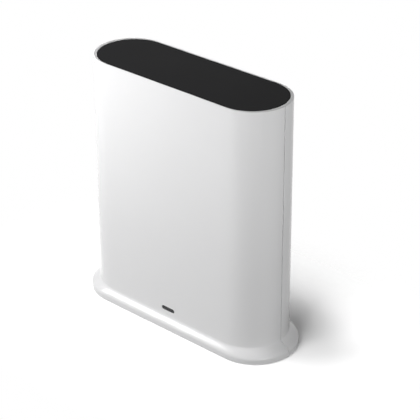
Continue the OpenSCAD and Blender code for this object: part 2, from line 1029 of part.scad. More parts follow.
front_shell();
rear_shell();
top_panel();
base_plate();
rubber_feet();
base_screws();
status_lens();
light_guide();
status_led();
port_plate();
sync_button();
sync_plunger();
sync_switch();
reset_plunger();
reset_switch();
main_board();
board_screws();
soc_chip();
memory_chips();
flash_chip();
radio_chips();
regulator_chips();
crystals();
chip_passives();
power_inductors();
capacitors();
thermal_pad();
heat_sink();
heat_sink_pins();
wifi_shield();
hub_radio_shield();
ethernet_shell();
ethernet_insert();
ethernet_contacts();
ethernet_transformer();
usb_shell();
usb_tongue();
usb_contacts();
dc_jack_body();
dc_jack_pin();
dc_jack_spring();
wifi_antenna_left();
wifi_antenna_right();
antenna_tapes();
antenna_cable_left();
antenna_cable_right();
coax_plugs();
hub_radio_antenna();
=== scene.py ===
"""Looks of an upright base station for security cameras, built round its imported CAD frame."""

import json
import math
from collections import namedtuple

import bmesh
import bpy
from bpy.props import FloatProperty, FloatVectorProperty, IntProperty, PointerProperty
from mathutils import Matrix, Vector


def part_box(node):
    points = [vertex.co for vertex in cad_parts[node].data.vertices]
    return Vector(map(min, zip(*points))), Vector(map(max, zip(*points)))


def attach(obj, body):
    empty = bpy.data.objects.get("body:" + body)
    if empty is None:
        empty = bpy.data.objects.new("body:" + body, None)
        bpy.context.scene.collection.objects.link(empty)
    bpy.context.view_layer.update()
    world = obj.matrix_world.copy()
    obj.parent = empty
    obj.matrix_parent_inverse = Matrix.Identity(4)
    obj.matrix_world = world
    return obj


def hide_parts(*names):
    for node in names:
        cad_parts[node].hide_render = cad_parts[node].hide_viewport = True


bl_info = {
    "name": "Camera base station",
    "version": (1, 0, 0),
    "blender": (4, 5, 0),
    "location": "View3D > Sidebar > Base station",
    "description": "Dresses the CAD frame of an upright base station for security cameras",
    "category": "Object",
}

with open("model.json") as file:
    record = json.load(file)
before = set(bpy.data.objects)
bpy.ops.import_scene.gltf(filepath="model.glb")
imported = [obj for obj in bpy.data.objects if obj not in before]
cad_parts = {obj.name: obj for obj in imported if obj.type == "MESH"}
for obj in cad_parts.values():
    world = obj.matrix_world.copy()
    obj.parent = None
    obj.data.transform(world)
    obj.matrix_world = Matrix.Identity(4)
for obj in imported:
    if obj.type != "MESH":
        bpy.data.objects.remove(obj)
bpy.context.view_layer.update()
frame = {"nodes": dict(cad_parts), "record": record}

MM = 0.001
MERGE = 1e-7            # distance at which two points are one
CAD_MERGE = 1e-6        # the same for the points of a CAD mesh
IN_PLANE = 1e-5         # distance at which an edge lies in a plane
SHARP_ANGLE = math.radians(32)  # past this an edge can be rounded, and breaks the shading
FLAT_ANGLE = math.radians(1)    # below this two faces of a CAD mesh are one
QUARTER = math.pi / 2           # quarter of a turn
ARC_STEPS = 48          # facets in each quarter of a round end of the housing
SLOT_STEPS = 8          # facets in each quarter of a round end of a slot
ROUND_STEPS = 48        # facets round a post, a bore or a button
CORNER_STEPS = 8        # facets round a corner of a plate
FLARE_STEPS = 28        # rings up the flared foot
EDGE_STEPS = 4          # rings round a small edge
TIP_STEPS = 8           # rings round the tip of the power pin
DISH_STEPS = 6          # rings across the hollow of the button
SUPPORT = 0.6 * MM      # flat strip beside a curve, which keeps the flats flat in shading
OVER = 2 * MM           # how far a cutting shape reaches past a face
SINK = 0.5 * MM         # how far a rib or a leg grows into what carries it
SLIP = 0.1 * MM         # room of a close fit
TAB_HEIGHTS = (30 * MM, 65 * MM, 100 * MM)      # middles of the snap tabs up each end
LENS_SHARE = 12         # the light's height over the radius of the lens's edge
WIRES = 8               # contact wires of the network port
PIN_TIP = 0.7           # round tip of the power pin, as a share of its radius
THREAD_DEPTH = 0.2 * MM # height of the ridges of a screw's thread
THREAD_PITCH = 0.8 * MM # from one ridge to the next
HEAD_EDGE = 0.25        # edge radius of a screw's head, as a share of its height
CROSS_REACH, CROSS_WIDTH, CROSS_DEPTH = 0.55, 0.12, 0.6     # shares of a screw's head
SHEET_EDGE = 0.25       # edge radius of the metal round a port, as a share of its thickness
GRAIN_DEPTH = 0.02 * MM # relief of moulded grain and of specks
LINE_DEPTH = 0.01 * MM  # relief of the lines of worked metal
TRACK_DEPTH = 0.03 * MM # relief of the tracks of the board
TRACK_TONE = 1.9        # how much lighter the lacquer is over a track
TRACK_LEVEL = 0.62      # height of the waves that are tracks of the board
HOLE_LEVEL = 0.16       # size of the gilded holes of the board in their cells

FRONT_LOW, FRONT_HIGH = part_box("front_shell")
PANEL_LOW, PANEL_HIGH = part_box("top_panel")
PLATE_LOW, PLATE_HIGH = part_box("port_plate")
SLOTS = {part["node"]: part["material_slot"] for part in frame["record"]["subparts"]}
BODIES = {node: body for body, nodes in frame["record"]["behaviour"]["bodies"].items() for node in nodes}

# Half length, half depth and height of one level of an outline with round ends
Ring = namedtuple("Ring", "length depth height")

# Pieces that keep their CAD shape, by group, with the radius of their softened edges in millimetres
SOFT_PIECES = {
    "light": {"light_guide": 0.15, "status_led": 0.15},
    "switches": {"sync_plunger": 0.15, "sync_switch": 0.15, "reset_plunger": 0.15, "reset_switch": 0.15},
    "network": {"ethernet_contacts": 0.08, "ethernet_transformer": 0.25},
    "storage": {"usb_contacts": 0.08},
    "power": {"dc_jack_spring": 0.08},
    "board": {"main_board": 0.12},
    "chips": {
        "soc_chip": 0.15, "memory_chips": 0.15, "flash_chip": 0.15, "radio_chips": 0.15,
        "regulator_chips": 0.15, "crystals": 0.15, "chip_passives": 0.12, "power_inductors": 0.4,
        "capacitors": 0.5},
    "cooling": {"heat_sink": 0.2, "thermal_pad": 0.2, "heat_sink_pins": 0.2},
    "radios": {
        "wifi_shield": 0.12, "hub_radio_shield": 0.12, "wifi_antenna_left": 0.1, "wifi_antenna_right": 0.1,
        "antenna_tapes": 0.1, "coax_plugs": 0.1, "hub_radio_antenna": 0.1},
}

# Name, azimuth, elevation, distance in metres, size in metres and watts of each lamp
LAMPS = (
    ("key", -45, 25, 0.3, 0.15, 0.67),
    ("near_key", -25, 40, 0.2, 0.1, 0.062),
    ("right_key", 70, 20, 0.3, 0.03, 0.22),
    ("right_fill", 40, 2, 1.0, 1.0, 2.85),
    ("rear_fill", -139, -3, 1.0, 0.6, 7),
    ("under_fill", -139, -80, 0.6, 0.2, 1.8),
)
# The same for the lamps over the floor
FLOOR_LAMPS = (
    ("floor_low", 0, 45, 2.0, 1.2, 28.4),
    ("floor_top", 0, 75, 2.0, 0.5, 11),
    ("floor_left", -60, 75, 2.0, 0.5, 25.7),
)


# Sizes and colours

def length(name, description, value):
    """Property for a length, with its default in millimetres."""
    return FloatProperty(name=name, description=description, default=value * MM, unit="LENGTH")


def angle(name, description, degrees):
    """Property for an angle, with its default in degrees."""
    return FloatProperty(name=name, description=description, default=math.radians(degrees), subtype="ANGLE")


def colour(name, description, red, green, blue):
    """Property for a colour."""
    return FloatVectorProperty(
        name=name, description=description, default=(red, green, blue), subtype="COLOR", min=0, max=1)


class HousingSizes(bpy.types.PropertyGroup):
    """Sizes of the white housing and its flared foot."""

    wall: length("Wall", "Thickness of the walls", 2.4)
    draft: length("Draft", "How far each side leans out down to the table", 1.1)
    flare_end: length("End flare", "Reach of the foot past each end", 5.35)
    flare_side: length("Side flare", "Reach of the foot past the front and back", 2.6)
    flare_top: length("Flare top", "Height at which the wall starts to flare", 7.5)
    lip_height: length("Lip", "Height of the upright lip of the foot", 2.2)
    lip_round: length("Lip edge", "Radius of the lower edge of the lip", 0.3)
    rim_round: length("Rim edge", "Radius of the outer edge of the rim", 0.15)
    seam_width: length("Seam width", "Width of the line between the halves", 0.7)
    seam_depth: length("Seam depth", "Depth of the line between the halves", 0.8)
    cut_edge: length("Cut edge", "Radius of the edges of the window and the vents", 0.25)


class FixingSizes(bpy.types.PropertyGroup):
    """Sizes of the bosses, posts, tabs and screws inside."""

    room: length("Room", "Gap round a piece that sits in an opening", 0.2)
    boss: length("Boss", "Radius of the bosses for the base screws", 3.25)
    boss_height: length("Boss height", "Height of the bosses for the base screws", 11.5)
    boss_hole: length("Boss hole", "Radius of the holes in the bosses", 1.55)
    boss_hole_depth: length("Boss hole depth", "Depth of the holes in the bosses", 9.5)
    post: length("Post", "Radius of the posts for the board", 3)
    post_hole: length("Post hole", "Radius of the holes in the posts", 1.3)
    post_hole_depth: length("Post hole depth", "Depth of the holes in the posts", 9)
    tab_height: length("Tab height", "Height of the snap tabs at the ends", 8)
    tab_thickness: length("Tab thickness", "Thickness of the snap tabs", 1.4)
    tab_reach: length("Tab reach", "How far a tab reaches into the rear half", 4.2)
    tab_root: length("Tab root", "How far a tab runs back along the front half", 5)
    barb: length("Barb", "How far a tab's barb stands out", 0.6)
    barb_length: length("Barb length", "Length of a tab's barb", 1.6)
    leg_place: length("Leg place", "Sideways place of the panel's snap legs", 24)
    leg_width: length("Leg width", "Width of the panel's snap legs", 8)
    leg_thickness: length("Leg thickness", "Thickness of the panel's snap legs", 1.4)
    leg_barb: length("Leg barb", "Height of the barb on a snap leg", 2)
    catch_depth: length("Catch depth", "How far a catch stands out from the wall", 0.8)
    catch_height: length("Catch height", "Height of a catch", 1.4)
    base_head: length("Base screw head", "Radius of the base screws' heads", 2.8)
    board_head: length("Board screw head", "Radius of the board screws' heads", 2.5)


class VentSizes(bpy.types.PropertyGroup):
    """Sizes of the two rows of vents."""

    count: IntProperty(name="Slots", description="Slots in each row", default=11, min=1)
    pitch: length("Pitch", "From one slot to the next", 5)
    reach: length("Length", "Length of a slot", 18)
    width: length("Width", "Width of a slot", 1.8)
    place: length("Height", "Height of the middle of the rear row", 99.5)


class PanelSizes(bpy.types.PropertyGroup):
    """Sizes of the dark top panel."""

    thickness: length("Thickness", "Thickness of the panel", 2)
    gap: length("Gap", "Gap round the panel", 0.15)
    edge: length("Edge", "Radius of the upper edge", 0.25)


class LightSizes(bpy.types.PropertyGroup):
    """Sizes of the status light."""

    width: length("Width", "Length of the slot", 8.3)
    height: length("Height", "Height of the slot", 2.3)
    edge: length("Edge", "Radius of the slot's outer edge", 0.12)
    flange: length("Flange", "How far the lens reaches behind the wall", 1)
    flange_thickness: length("Flange thickness", "Thickness of the lens behind the wall", 0.8)


class PortSizes(bpy.types.PropertyGroup):
    """Sizes of the port plate and what looks out of it."""

    corner: length("Corner", "Corner radius of the plate", 4)
    edge: length("Edge", "Radius of the plate's outer edge", 0.4)
    mouth: length("Mouth", "Radius of the edges of the openings", 0.2)
    flange: length("Flange", "How far the plate reaches behind the wall", 2)
    flange_thickness: length("Flange thickness", "Thickness of the plate behind the wall", 1.2)
    sheet: length("Sheet", "Thickness of the metal round the ports", 0.35)
    button: length("Button", "Radius of the sync button", 4)
    button_gap: length("Button gap", "Gap round the sync button", 0.3)
    button_round: length("Button edge", "Radius of the button's edge", 0.5)
    button_dish: length("Button dish", "Depth of the hollow in the button's face", 0.25)
    button_stem: length("Button stem", "Radius of the button's stem", 2.2)
    button_lip: length("Button lip", "Thickness of the lip behind the plate", 1)
    pinhole: length("Pinhole", "Radius of the reset pinhole", 0.8)
    nose: length("Power nose", "Radius of the power inlet's nose", 4.6)
    nose_length: length("Nose length", "Length of the power inlet's nose", 4)
    bore: length("Power bore", "Radius of the power inlet's bore", 3.2)
    bore_depth: length("Bore depth", "Depth of the power inlet's bore", 9.5)
    plug_width: length("Plug width", "Width of the network port's mouth", 11.9)
    plug_height: length("Plug height", "Height of the network port's mouth", 7)
    plug_depth: length("Plug depth", "Depth of the network port's mouth", 12)
    plug_rise: length("Plug rise", "How far the mouth sits above the port's middle", 0.6)
    latch_width: length("Latch width", "Width of the notch for the plug's latch", 6.4)
    latch_height: length("Latch height", "Height of the notch for the plug's latch", 2.6)
    wire_pitch: length("Wire pitch", "From one contact wire to the next", 1.02)
    wire_slot: length("Wire slot", "Width of the slots for the contact wires", 0.7)
    wire_rise: length("Wire rise", "Height of the slots for the contact wires", 1.8)
    tongue: length("Tongue", "Thickness of the storage port's tongue", 1.84)
    tongue_width: length("Tongue width", "Width of the storage port's tongue", 11.1)
    tongue_length: length("Tongue length", "Length of the storage port's tongue", 9)
    tongue_drop: length("Tongue drop", "From the port's metal down to the tongue", 0.7)


class BaseSizes(bpy.types.PropertyGroup):
    """Sizes of the plate under the foot and the rubber feet."""

    thickness: length("Thickness", "Thickness of the plate", 2)
    edge: length("Edge", "Radius of the plate's lower edge", 0.4)
    cup: length("Cup", "Radius of the cups for the screws", 4.4)
    cup_wall: length("Cup wall", "Thickness of the end of a cup", 1.4)
    screw_hole: length("Screw hole", "Radius of the holes for the screws", 1.65)
    foot_radius: length("Foot", "Radius of a rubber foot", 5.5)
    foot_edge: length("Foot edge", "Radius of a rubber foot's edge", 0.4)
    foot_dish: length("Foot dish", "Depth of the hollow under a foot", 0.25)


class Colours(bpy.types.PropertyGroup):
    """Colours of the finishes, named as the record's material slots are."""

    housing_white: colour("Housing", "Satin white plastic", 0.83, 0.83, 0.835)
    panel_black: colour("Panel", "Matt dark plastic of the top", 0.015, 0.015, 0.016)
    lens_smoke: colour("Lens", "Smoked plastic of the status light", 0.02, 0.02, 0.022)
    guide_clear: colour("Light guide", "Clear plastic behind the lens", 0.9, 0.92, 0.94)
    foot_rubber: colour("Feet", "Dark rubber", 0.03, 0.03, 0.031)
    port_black: colour("Ports", "Black plastic round the ports", 0.02, 0.02, 0.021)
    button_white: colour("Button", "White plastic of the sync button", 0.8, 0.8, 0.805)
    switch_black: colour("Switches", "Black plastic of the plungers and pins", 0.025, 0.025, 0.026)
    board_green: colour("Board", "Green lacquer of the boards", 0.012, 0.085, 0.04)
    chip_black: colour("Chips", "Dark moulding of the chips", 0.02, 0.02, 0.021)
    insulator_white: colour("Insulators", "Off-white plastic", 0.72, 0.71, 0.67)
    screw_steel: colour("Screws", "Plated steel", 0.55, 0.55, 0.54)
    sheet_steel: colour("Sheet metal", "Nickel-plated sheet", 0.62, 0.61, 0.59)
    sink_aluminium: colour("Heat sink", "Bare aluminium", 0.7, 0.71, 0.72)
    contact_gold: colour("Contacts", "Gold plating", 0.83, 0.6, 0.25)
    pad_grey: colour("Thermal pad", "Grey silicone", 0.28, 0.32, 0.36)
    ferrite_grey: colour("Inductors", "Grey ferrite", 0.07, 0.07, 0.073)
    ceramic_tan: colour("Small chips", "Tan ceramic", 0.35, 0.24, 0.13)
    lead_black: colour("Leads", "Black jacket of the leads", 0.02, 0.02, 0.021)
    tape_white: colour("Tape", "White foam tape", 0.78, 0.77, 0.74)


class StageSizes(bpy.types.PropertyGroup):
    """Camera, floor and light of the stage."""

    azimuth: angle("Azimuth", "Way round the object", 40.92)
    elevation: angle("Elevation", "Height of the view", 28.99)
    distance: length("Distance", "From the camera to the object's middle", 710.5)
    aside: length("Aside", "Sideways place of the camera", 8.86)
    above: length("Above", "Upward place of the camera", -6.44)
    lens: FloatProperty(name="Lens", description="Focal length in millimetres", default=125.87)
    floor_size: length("Floor", "Side of the floor", 6000)
    floor_white: colour("Floor white", "Pale floor", 0.95, 0.95, 0.95)
    fade_start: length("Fade start", "From the middle line to where the floor starts to fade", 40)
    fade_end: length("Fade end", "From the middle line to where the floor is gone", 100)
    ambient: FloatProperty(name="Ambient", description="Strength of the light from all round", default=0.06)


class BaseStation(bpy.types.PropertyGroup):
    """All the settings of the base station."""

    housing: PointerProperty(type=HousingSizes)
    fixing: PointerProperty(type=FixingSizes)
    vents: PointerProperty(type=VentSizes)
    panel: PointerProperty(type=PanelSizes)
    light: PointerProperty(type=LightSizes)
    ports: PointerProperty(type=PortSizes)
    base: PointerProperty(type=BaseSizes)
    colours: PointerProperty(type=Colours)
    stage: PointerProperty(type=StageSizes)


def settings():
    """The scene's own settings."""
    return bpy.context.scene.base_station


# Mesh tools

def new_verts(made):
    """Vertices among the new geometry of an operator."""
    return [g for g in made if isinstance(g, bmesh.types.BMVert)]


def new_edges(made):
    """Edges among the new geometry of an operator."""
    return [g for g in made if isinstance(g, bmesh.types.BMEdge)]


def mirror_copy(bm, signs):
    """Add a mirrored copy of the whole mesh."""
    made = bmesh.ops.duplicate(bm, geom=list(bm.verts) + list(bm.edges) + list(bm.faces))["geom"]
    bmesh.ops.scale(bm, vec=signs, verts=new_verts(made))


def chain(bm, points):
    """Run of edges through points, in an empty mesh."""
    end = bmesh.ops.create_vert(bm, co=points[0])["vert"][0]
    for point in points[1:]:
        end = bmesh.ops.extrude_vert_indiv(bm, verts=[end])["verts"][0]
        end.co = point


def turn_end(bm, end, centre, steps):
    """Carry the end of an outline a quarter round a centre."""
    made = bmesh.ops.spin(bm, geom=[end], cent=centre, axis=(0, 0, 1), angle=-QUARTER, steps=steps)
    return new_verts(made["geom_last"])[0]


def half_outline(bm, ring, steps=ARC_STEPS):
    """Front half of an outline with round ends, from the +X end round to the -X end, in an empty mesh."""
    centre = ring.length - ring.depth
    end = bmesh.ops.create_vert(bm, co=(ring.length, 0, ring.height))["vert"][0]
    end = turn_end(bm, end, (centre, 0, ring.height), steps)
    for x in (centre - SUPPORT, SUPPORT - centre, -centre):
        end = bmesh.ops.extrude_vert_indiv(bm, verts=[end])["verts"][0]
        end.co.x = x
    turn_end(bm, end, (-centre, 0, ring.height), steps)
    return list(bm.edges)


def loft(bm, edges, rings):
    """Extrude an outline from ring to ring."""
    for here, there in zip(rings, rings[1:]):
        made = bmesh.ops.extrude_edge_only(bm, edges=edges)["geom"]
        edges = new_edges(made)
        grow = there.depth / here.depth
        centre = here.length - here.depth
        shift = there.length - there.depth - centre
        for side in (-1, 1):
            half = [v for v in new_verts(made) if side * v.co.x > 0]
            space = Matrix.Translation((-side * centre, 0, 0))
            bmesh.ops.scale(bm, vec=(grow, grow, 1), space=space, verts=half)
            bmesh.ops.translate(bm, vec=(side * shift, 0, there.height - here.height), verts=half)


def close(bm):
    """Merge what meets, fill the open ends and turn all faces outwards."""
    bmesh.ops.remove_doubles(bm, verts=bm.verts, dist=MERGE)
    open_edges = [e for e in bm.edges if e.is_boundary]
    if open_edges:
        bmesh.ops.holes_fill(bm, edges=open_edges, sides=0)
    bmesh.ops.recalc_face_normals(bm, faces=bm.faces)


def stack(bm, rings, steps=ARC_STEPS):
    """Closed body through rings, in an empty mesh."""
    half_outline(bm, rings[0], steps)
    mirror_copy(bm, (1, -1, 1))
    bmesh.ops.remove_doubles(bm, verts=bm.verts, dist=MERGE)
    loft(bm, list(bm.edges), rings)
    close(bm)


def round_edges(bm, edges, radius, segments=3):
    """Round some edges of a mesh."""
    bmesh.ops.bevel(
        bm, geom=list(edges), offset=radius, offset_type="OFFSET", segments=segments, profile=0.5,
        affect="EDGES", clamp_overlap=True, material=-1)


def block(bm, low, high, edge=0.0):
    """Box between two corners, with its edges rounded."""
    size = Vector(high) - Vector(low)
    verts = bmesh.ops.create_cube(bm, size=1)["verts"]
    bmesh.ops.scale(bm, vec=size, verts=verts)
    bmesh.ops.translate(bm, vec=(Vector(low) + Vector(high)) / 2, verts=verts)
    if edge > 0:
        round_edges(bm, {e for v in verts for e in v.link_edges}, edge, segments=2)


def corner_block(bm, low, high, corner, edge=0.0):
    """Box with round corners along Y, and with the edges of its +Y face rounded, in an empty mesh."""
    block(bm, low, high)
    along = [e for e in bm.edges if abs(e.verts[0].co.y - e.verts[1].co.y) > MERGE]
    round_edges(bm, along, corner, CORNER_STEPS)
    if edge > 0:
        rear = [e for e in bm.edges if all(abs(v.co.y - high[1]) < MERGE for v in e.verts)]
        round_edges(bm, rear, edge)


def rod(bm, radius, low, high):
    """Round bar along Z between two heights."""
    verts = bmesh.ops.create_cone(
        bm, cap_ends=True, segments=ROUND_STEPS, radius1=radius, radius2=radius, depth=high - low)["verts"]
    bmesh.ops.translate(bm, vec=(0, 0, (low + high) / 2), verts=verts)


def pill(bm, reach, width, low, high, upright=False):
    """Bar with round ends along X, or along Y if upright, between two heights, in an empty mesh."""
    ring = Ring(reach / 2, width / 2, low)
    stack(bm, [ring, ring._replace(height=high)], SLOT_STEPS)
    if upright:
        bmesh.ops.rotate(bm, cent=(0, 0, 0), matrix=Matrix.Rotation(QUARTER, 3, "Z"), verts=bm.verts)


def lathe(bm, profile):
    """Closed body from a profile of radius and height spun about Z, in an empty mesh."""
    chain(bm, [(radius, 0, height) for radius, height in profile])
    bmesh.ops.spin(
        bm, geom=list(bm.verts) + list(bm.edges), cent=(0, 0, 0), axis=(0, 0, 1), angle=2 * math.pi,
        steps=ROUND_STEPS, use_merge=True)
    close(bm)


def arc(centre_r, centre_z, radius, start, end, steps=EDGE_STEPS):
    """Points of radius and height round a centre, between two angles in degrees."""
    turns = [math.radians(start + (end - start) * i / steps) for i in range(steps + 1)]
    return [(centre_r + radius * math.cos(t), centre_z + radius * math.sin(t)) for t in turns]


def edge_rings(corner, edge, height, start, end):
    """Rings round an edge of a plate, from the plate's corner and the height of the arc's middle."""
    return [Ring(corner.x - edge + out, corner.y - edge + out, height + z)
            for out, z in arc(0, 0, edge, start, end)]


def object_of(name, bm):
    """Put a finished bmesh into the scene as an object."""
    mesh = bpy.data.meshes.new(name)
    bm.to_mesh(mesh)
    bm.free()
    obj = bpy.data.objects.new(name, mesh)
    bpy.context.scene.collection.objects.link(obj)
    return obj


def shape(name, maker, *sizes, at=(0, 0, 0), rear=None):
    """Shape as an object at a place, or with its heights turned to the rear at an X and a Z."""
    bm = bmesh.new()
    maker(bm, *sizes)
    bmesh.ops.recalc_face_normals(bm, faces=bm.faces)
    if rear:
        bmesh.ops.rotate(bm, cent=(0, 0, 0), matrix=Matrix.Rotation(-QUARTER, 3, "X"), verts=bm.verts)
        at = (rear[0], 0, rear[1])
    bmesh.ops.translate(bm, vec=at, verts=bm.verts)
    return object_of(name, bm)


def bar(name, x, width, low, high, edge=0.0):
    """Box of a width about an X, between two corners in Y and Z, as an object."""
    return shape(name, block, (x - width / 2, *low), (x + width / 2, *high), edge)


def gather(name, shapes, mirrored=False):
    """Put separate shapes into one object, with a mirrored copy on the -X side if asked."""
    bm = bmesh.new()
    for obj in shapes:
        bm.from_mesh(obj.data)
        bpy.data.meshes.remove(obj.data)
    if mirrored:
        mirror_copy(bm, (-1, 1, 1))
        bmesh.ops.recalc_face_normals(bm, faces=bm.faces)
    return object_of(name, bm)


def combine(obj, operation, others):
    """Join shapes to an object or cut them out of it, and delete them."""
    for other in others:
        modifier = obj.modifiers.new(other.name, "BOOLEAN")
        modifier.operation = operation
        modifier.solver = "EXACT"
        modifier.object = other
    bpy.context.view_layer.update()
    mesh = bpy.data.meshes.new_from_object(obj.evaluated_get(bpy.context.evaluated_depsgraph_get()))
    obj.modifiers.clear()
    before = obj.data
    obj.data = mesh
    bpy.data.meshes.remove(before)
    for other in others:
        bpy.data.meshes.remove(other.data)
    return obj


def join(obj, *shapes):
    """Join shapes to an object."""
    return combine(obj, "UNION", shapes)


def cut(obj, *shapes):
    """Cut shapes out of an object."""
    return combine(obj, "DIFFERENCE", shapes)


def soften(obj, radius, chosen, segments=3):
    """Round the sharp edges of an object that a test of the edge's middle chooses."""
    bm = bmesh.new()
    bm.from_mesh(obj.data)
    edges = [e for e in bm.edges
             if e.calc_face_angle(0) > SHARP_ANGLE and chosen((e.verts[0].co + e.verts[1].co) / 2)]
    round_edges(bm, edges, radius, segments)
    bm.to_mesh(obj.data)
    bm.free()


def soften_rear(obj, radius, y):
    """Round the sharp edges of an object that lie in one upright plane."""
    soften(obj, radius, lambda p: abs(p.y - y) < IN_PLANE)


def finish_piece(obj, node):
    """Shade a piece, give it the finish of its CAD node and let it stand for that node."""
    bm = bmesh.new()
    bm.from_mesh(obj.data)
    for face in bm.faces:
        face.smooth = True
    for edge in bm.edges:
        edge.smooth = edge.calc_face_angle(0) < SHARP_ANGLE
    bm.to_mesh(obj.data)
    bm.free()
    obj.data.materials.clear()
    obj.data.materials.append(finish_of(SLOTS[node]))
    modifier = obj.modifiers.new("Even shading", "WEIGHTED_NORMAL")
    modifier.keep_sharp = True
    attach(obj, BODIES[node])
    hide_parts(node)


def soft_copies(group):
    """Stand copies of a group's CAD nodes with rounded edges in for the nodes."""
    for node, radius in SOFT_PIECES[group].items():
        bm = bmesh.new()
        bm.from_mesh(frame["nodes"][node].data)
        bmesh.ops.remove_doubles(bm, verts=bm.verts, dist=CAD_MERGE)
        bmesh.ops.dissolve_limit(bm, angle_limit=FLAT_ANGLE, verts=bm.verts, edges=bm.edges)
        obj = object_of(node + "_finished", bm)
        soften(obj, radius * MM, lambda p: True, segments=2)
        finish_piece(obj, node)


def dress(node):
    """Give a CAD node that stays the finish of its slot."""
    materials = frame["nodes"][node].data.materials
    for i in range(len(materials)):
        materials[i] = finish_of(SLOTS[node])


# Finishes

def add_node(tree, kind, inputs=None, **options):
    """Add a node, set its options, and fill or link its inputs."""
    made = tree.nodes.new(kind)
    for name, value in options.items():
        setattr(made, name, value)
    for name, value in (inputs or {}).items():
        if isinstance(value, bpy.types.NodeSocket):
            tree.links.new(value, made.inputs[name])
        else:
            made.inputs[name].default_value = value
    return made


def maths(tree, operation, *values):
    """Result of an operation on sockets and numbers."""
    return add_node(tree, "ShaderNodeMath", dict(enumerate(values)), operation=operation).outputs[0]


def mix(tree, kind, factor, first, second):
    """Mix of two values or colours."""
    inputs = {"Factor": factor, "A": first, "B": second}
    return add_node(tree, "ShaderNodeMix", inputs, data_type=kind).outputs["Result"]


def toned(tone, share):
    """Colour of a tone made lighter or darker."""
    return [min(1, c * share) for c in tone] + [1]


def object_place(tree):
    """Place on the piece, in its own coordinates."""
    return add_node(tree, "ShaderNodeTexCoord").outputs["Object"]


def noise(group, place, scale, detail):
    """Cloudy noise."""
    inputs = {"Vector": place, "Scale": scale, "Detail": detail}
    return add_node(group, "ShaderNodeTexNoise", inputs).outputs["Fac"]


def grain(group, place, scale):
    """Height, tone and gloss of fine moulded grain."""
    cloud = noise(group, place, scale=32.0, detail=4.0)
    return noise(group, place, scale, detail=3.0), cloud, cloud


def drawn_lines(group, place, scale):
    """Height, tone and gloss of the fine lines of worked metal."""
    drawn = add_node(group, "ShaderNodeMapping", {"Vector": place, "Scale": (1, 1, 0.02)}).outputs["Vector"]
    lines = noise(group, drawn, scale, detail=2.0)
    return lines, noise(group, place, scale=120.0, detail=5.0), lines


def specks(group, place, scale):
    """Height, tone and gloss of the fine specks of a filled or pressed material."""
    inputs = {"Vector": place, "Scale": scale}
    cells = add_node(group, "ShaderNodeTexVoronoi", inputs).outputs["Distance"]
    return cells, cells, cells


TEXTURES = {"moulded_grain": grain, "drawn_lines": drawn_lines, "pressed_specks": specks}


def texture_group(name):
    """Node group of a shared texture: a height, a roughness and a tone that vary over the surface."""
    group = bpy.data.node_groups.new(name, "ShaderNodeTree")
    for way, sockets in (("INPUT", ("Per metre", "Roughness", "Spread")),
                         ("OUTPUT", ("Height", "Roughness", "Tone"))):
        for socket in sockets:
            group.interface.new_socket(socket, in_out=way, socket_type="NodeSocketFloat")
    given = group.nodes.new("NodeGroupInput").outputs
    height, tone, gloss = TEXTURES[name](group, object_place(group), given["Per metre"])
    centred = maths(group, "SUBTRACT", gloss, 0.5)
    roughness = maths(group, "MULTIPLY_ADD", centred, given["Spread"], given["Roughness"])
    add_node(group, "NodeGroupOutput", {"Height": height, "Roughness": roughness, "Tone": tone})
    return group


def textured(material, texture, tone, scale, roughness, spread, tint, bump, depth, sockets):
    """Surface with one of the shared textures, uneven in tone, gloss and height."""
    tree = material.node_tree
    shader = tree.nodes["Principled BSDF"]
    group = tree.nodes.new("ShaderNodeGroup")
    group.node_tree = bpy.data.node_groups.get(texture) or texture_group(texture)
    for i, value in enumerate((scale, roughness, spread)):
        group.inputs[i].default_value = value
    mixed = mix(tree, "RGBA", group.outputs["Tone"], toned(tone, 1 - tint), toned(tone, 1 + tint))
    relief = add_node(
        tree, "ShaderNodeBump", {"Height": group.outputs["Height"], "Strength": bump, "Distance": depth})
    tree.links.new(mixed, shader.inputs["Base Color"])
    tree.links.new(group.outputs["Roughness"], shader.inputs["Roughness"])
    tree.links.new(relief.outputs["Normal"], shader.inputs["Normal"])
    for socket, value in sockets.items():
        shader.inputs[socket].default_value = value


def grained(material, tone, roughness, scale=2500.0, spread=0.06, tint=0.04, bump=0.1, specular=0.5):
    """Moulded plastic or rubber with a fine grain."""
    textured(material, "moulded_grain", tone, scale, roughness, spread, tint, bump, GRAIN_DEPTH,
             {"Specular IOR Level": specular})


def metal(material, tone, roughness, scale=6000.0, spread=0.15, tint=0.06, bump=0.08):
    """Bare or plated metal with fine drawn lines."""
    textured(material, "drawn_lines", tone, scale, roughness, spread, tint, bump, LINE_DEPTH,
             {"Metallic": 1.0})


def speckled(material, tone, roughness, scale=4000.0, spread=0.15, tint=0.35, bump=0.2):
    """Pressed or filled material with fine specks."""
    textured(material, "pressed_specks", tone, scale, roughness, spread, tint, bump, GRAIN_DEPTH, {})


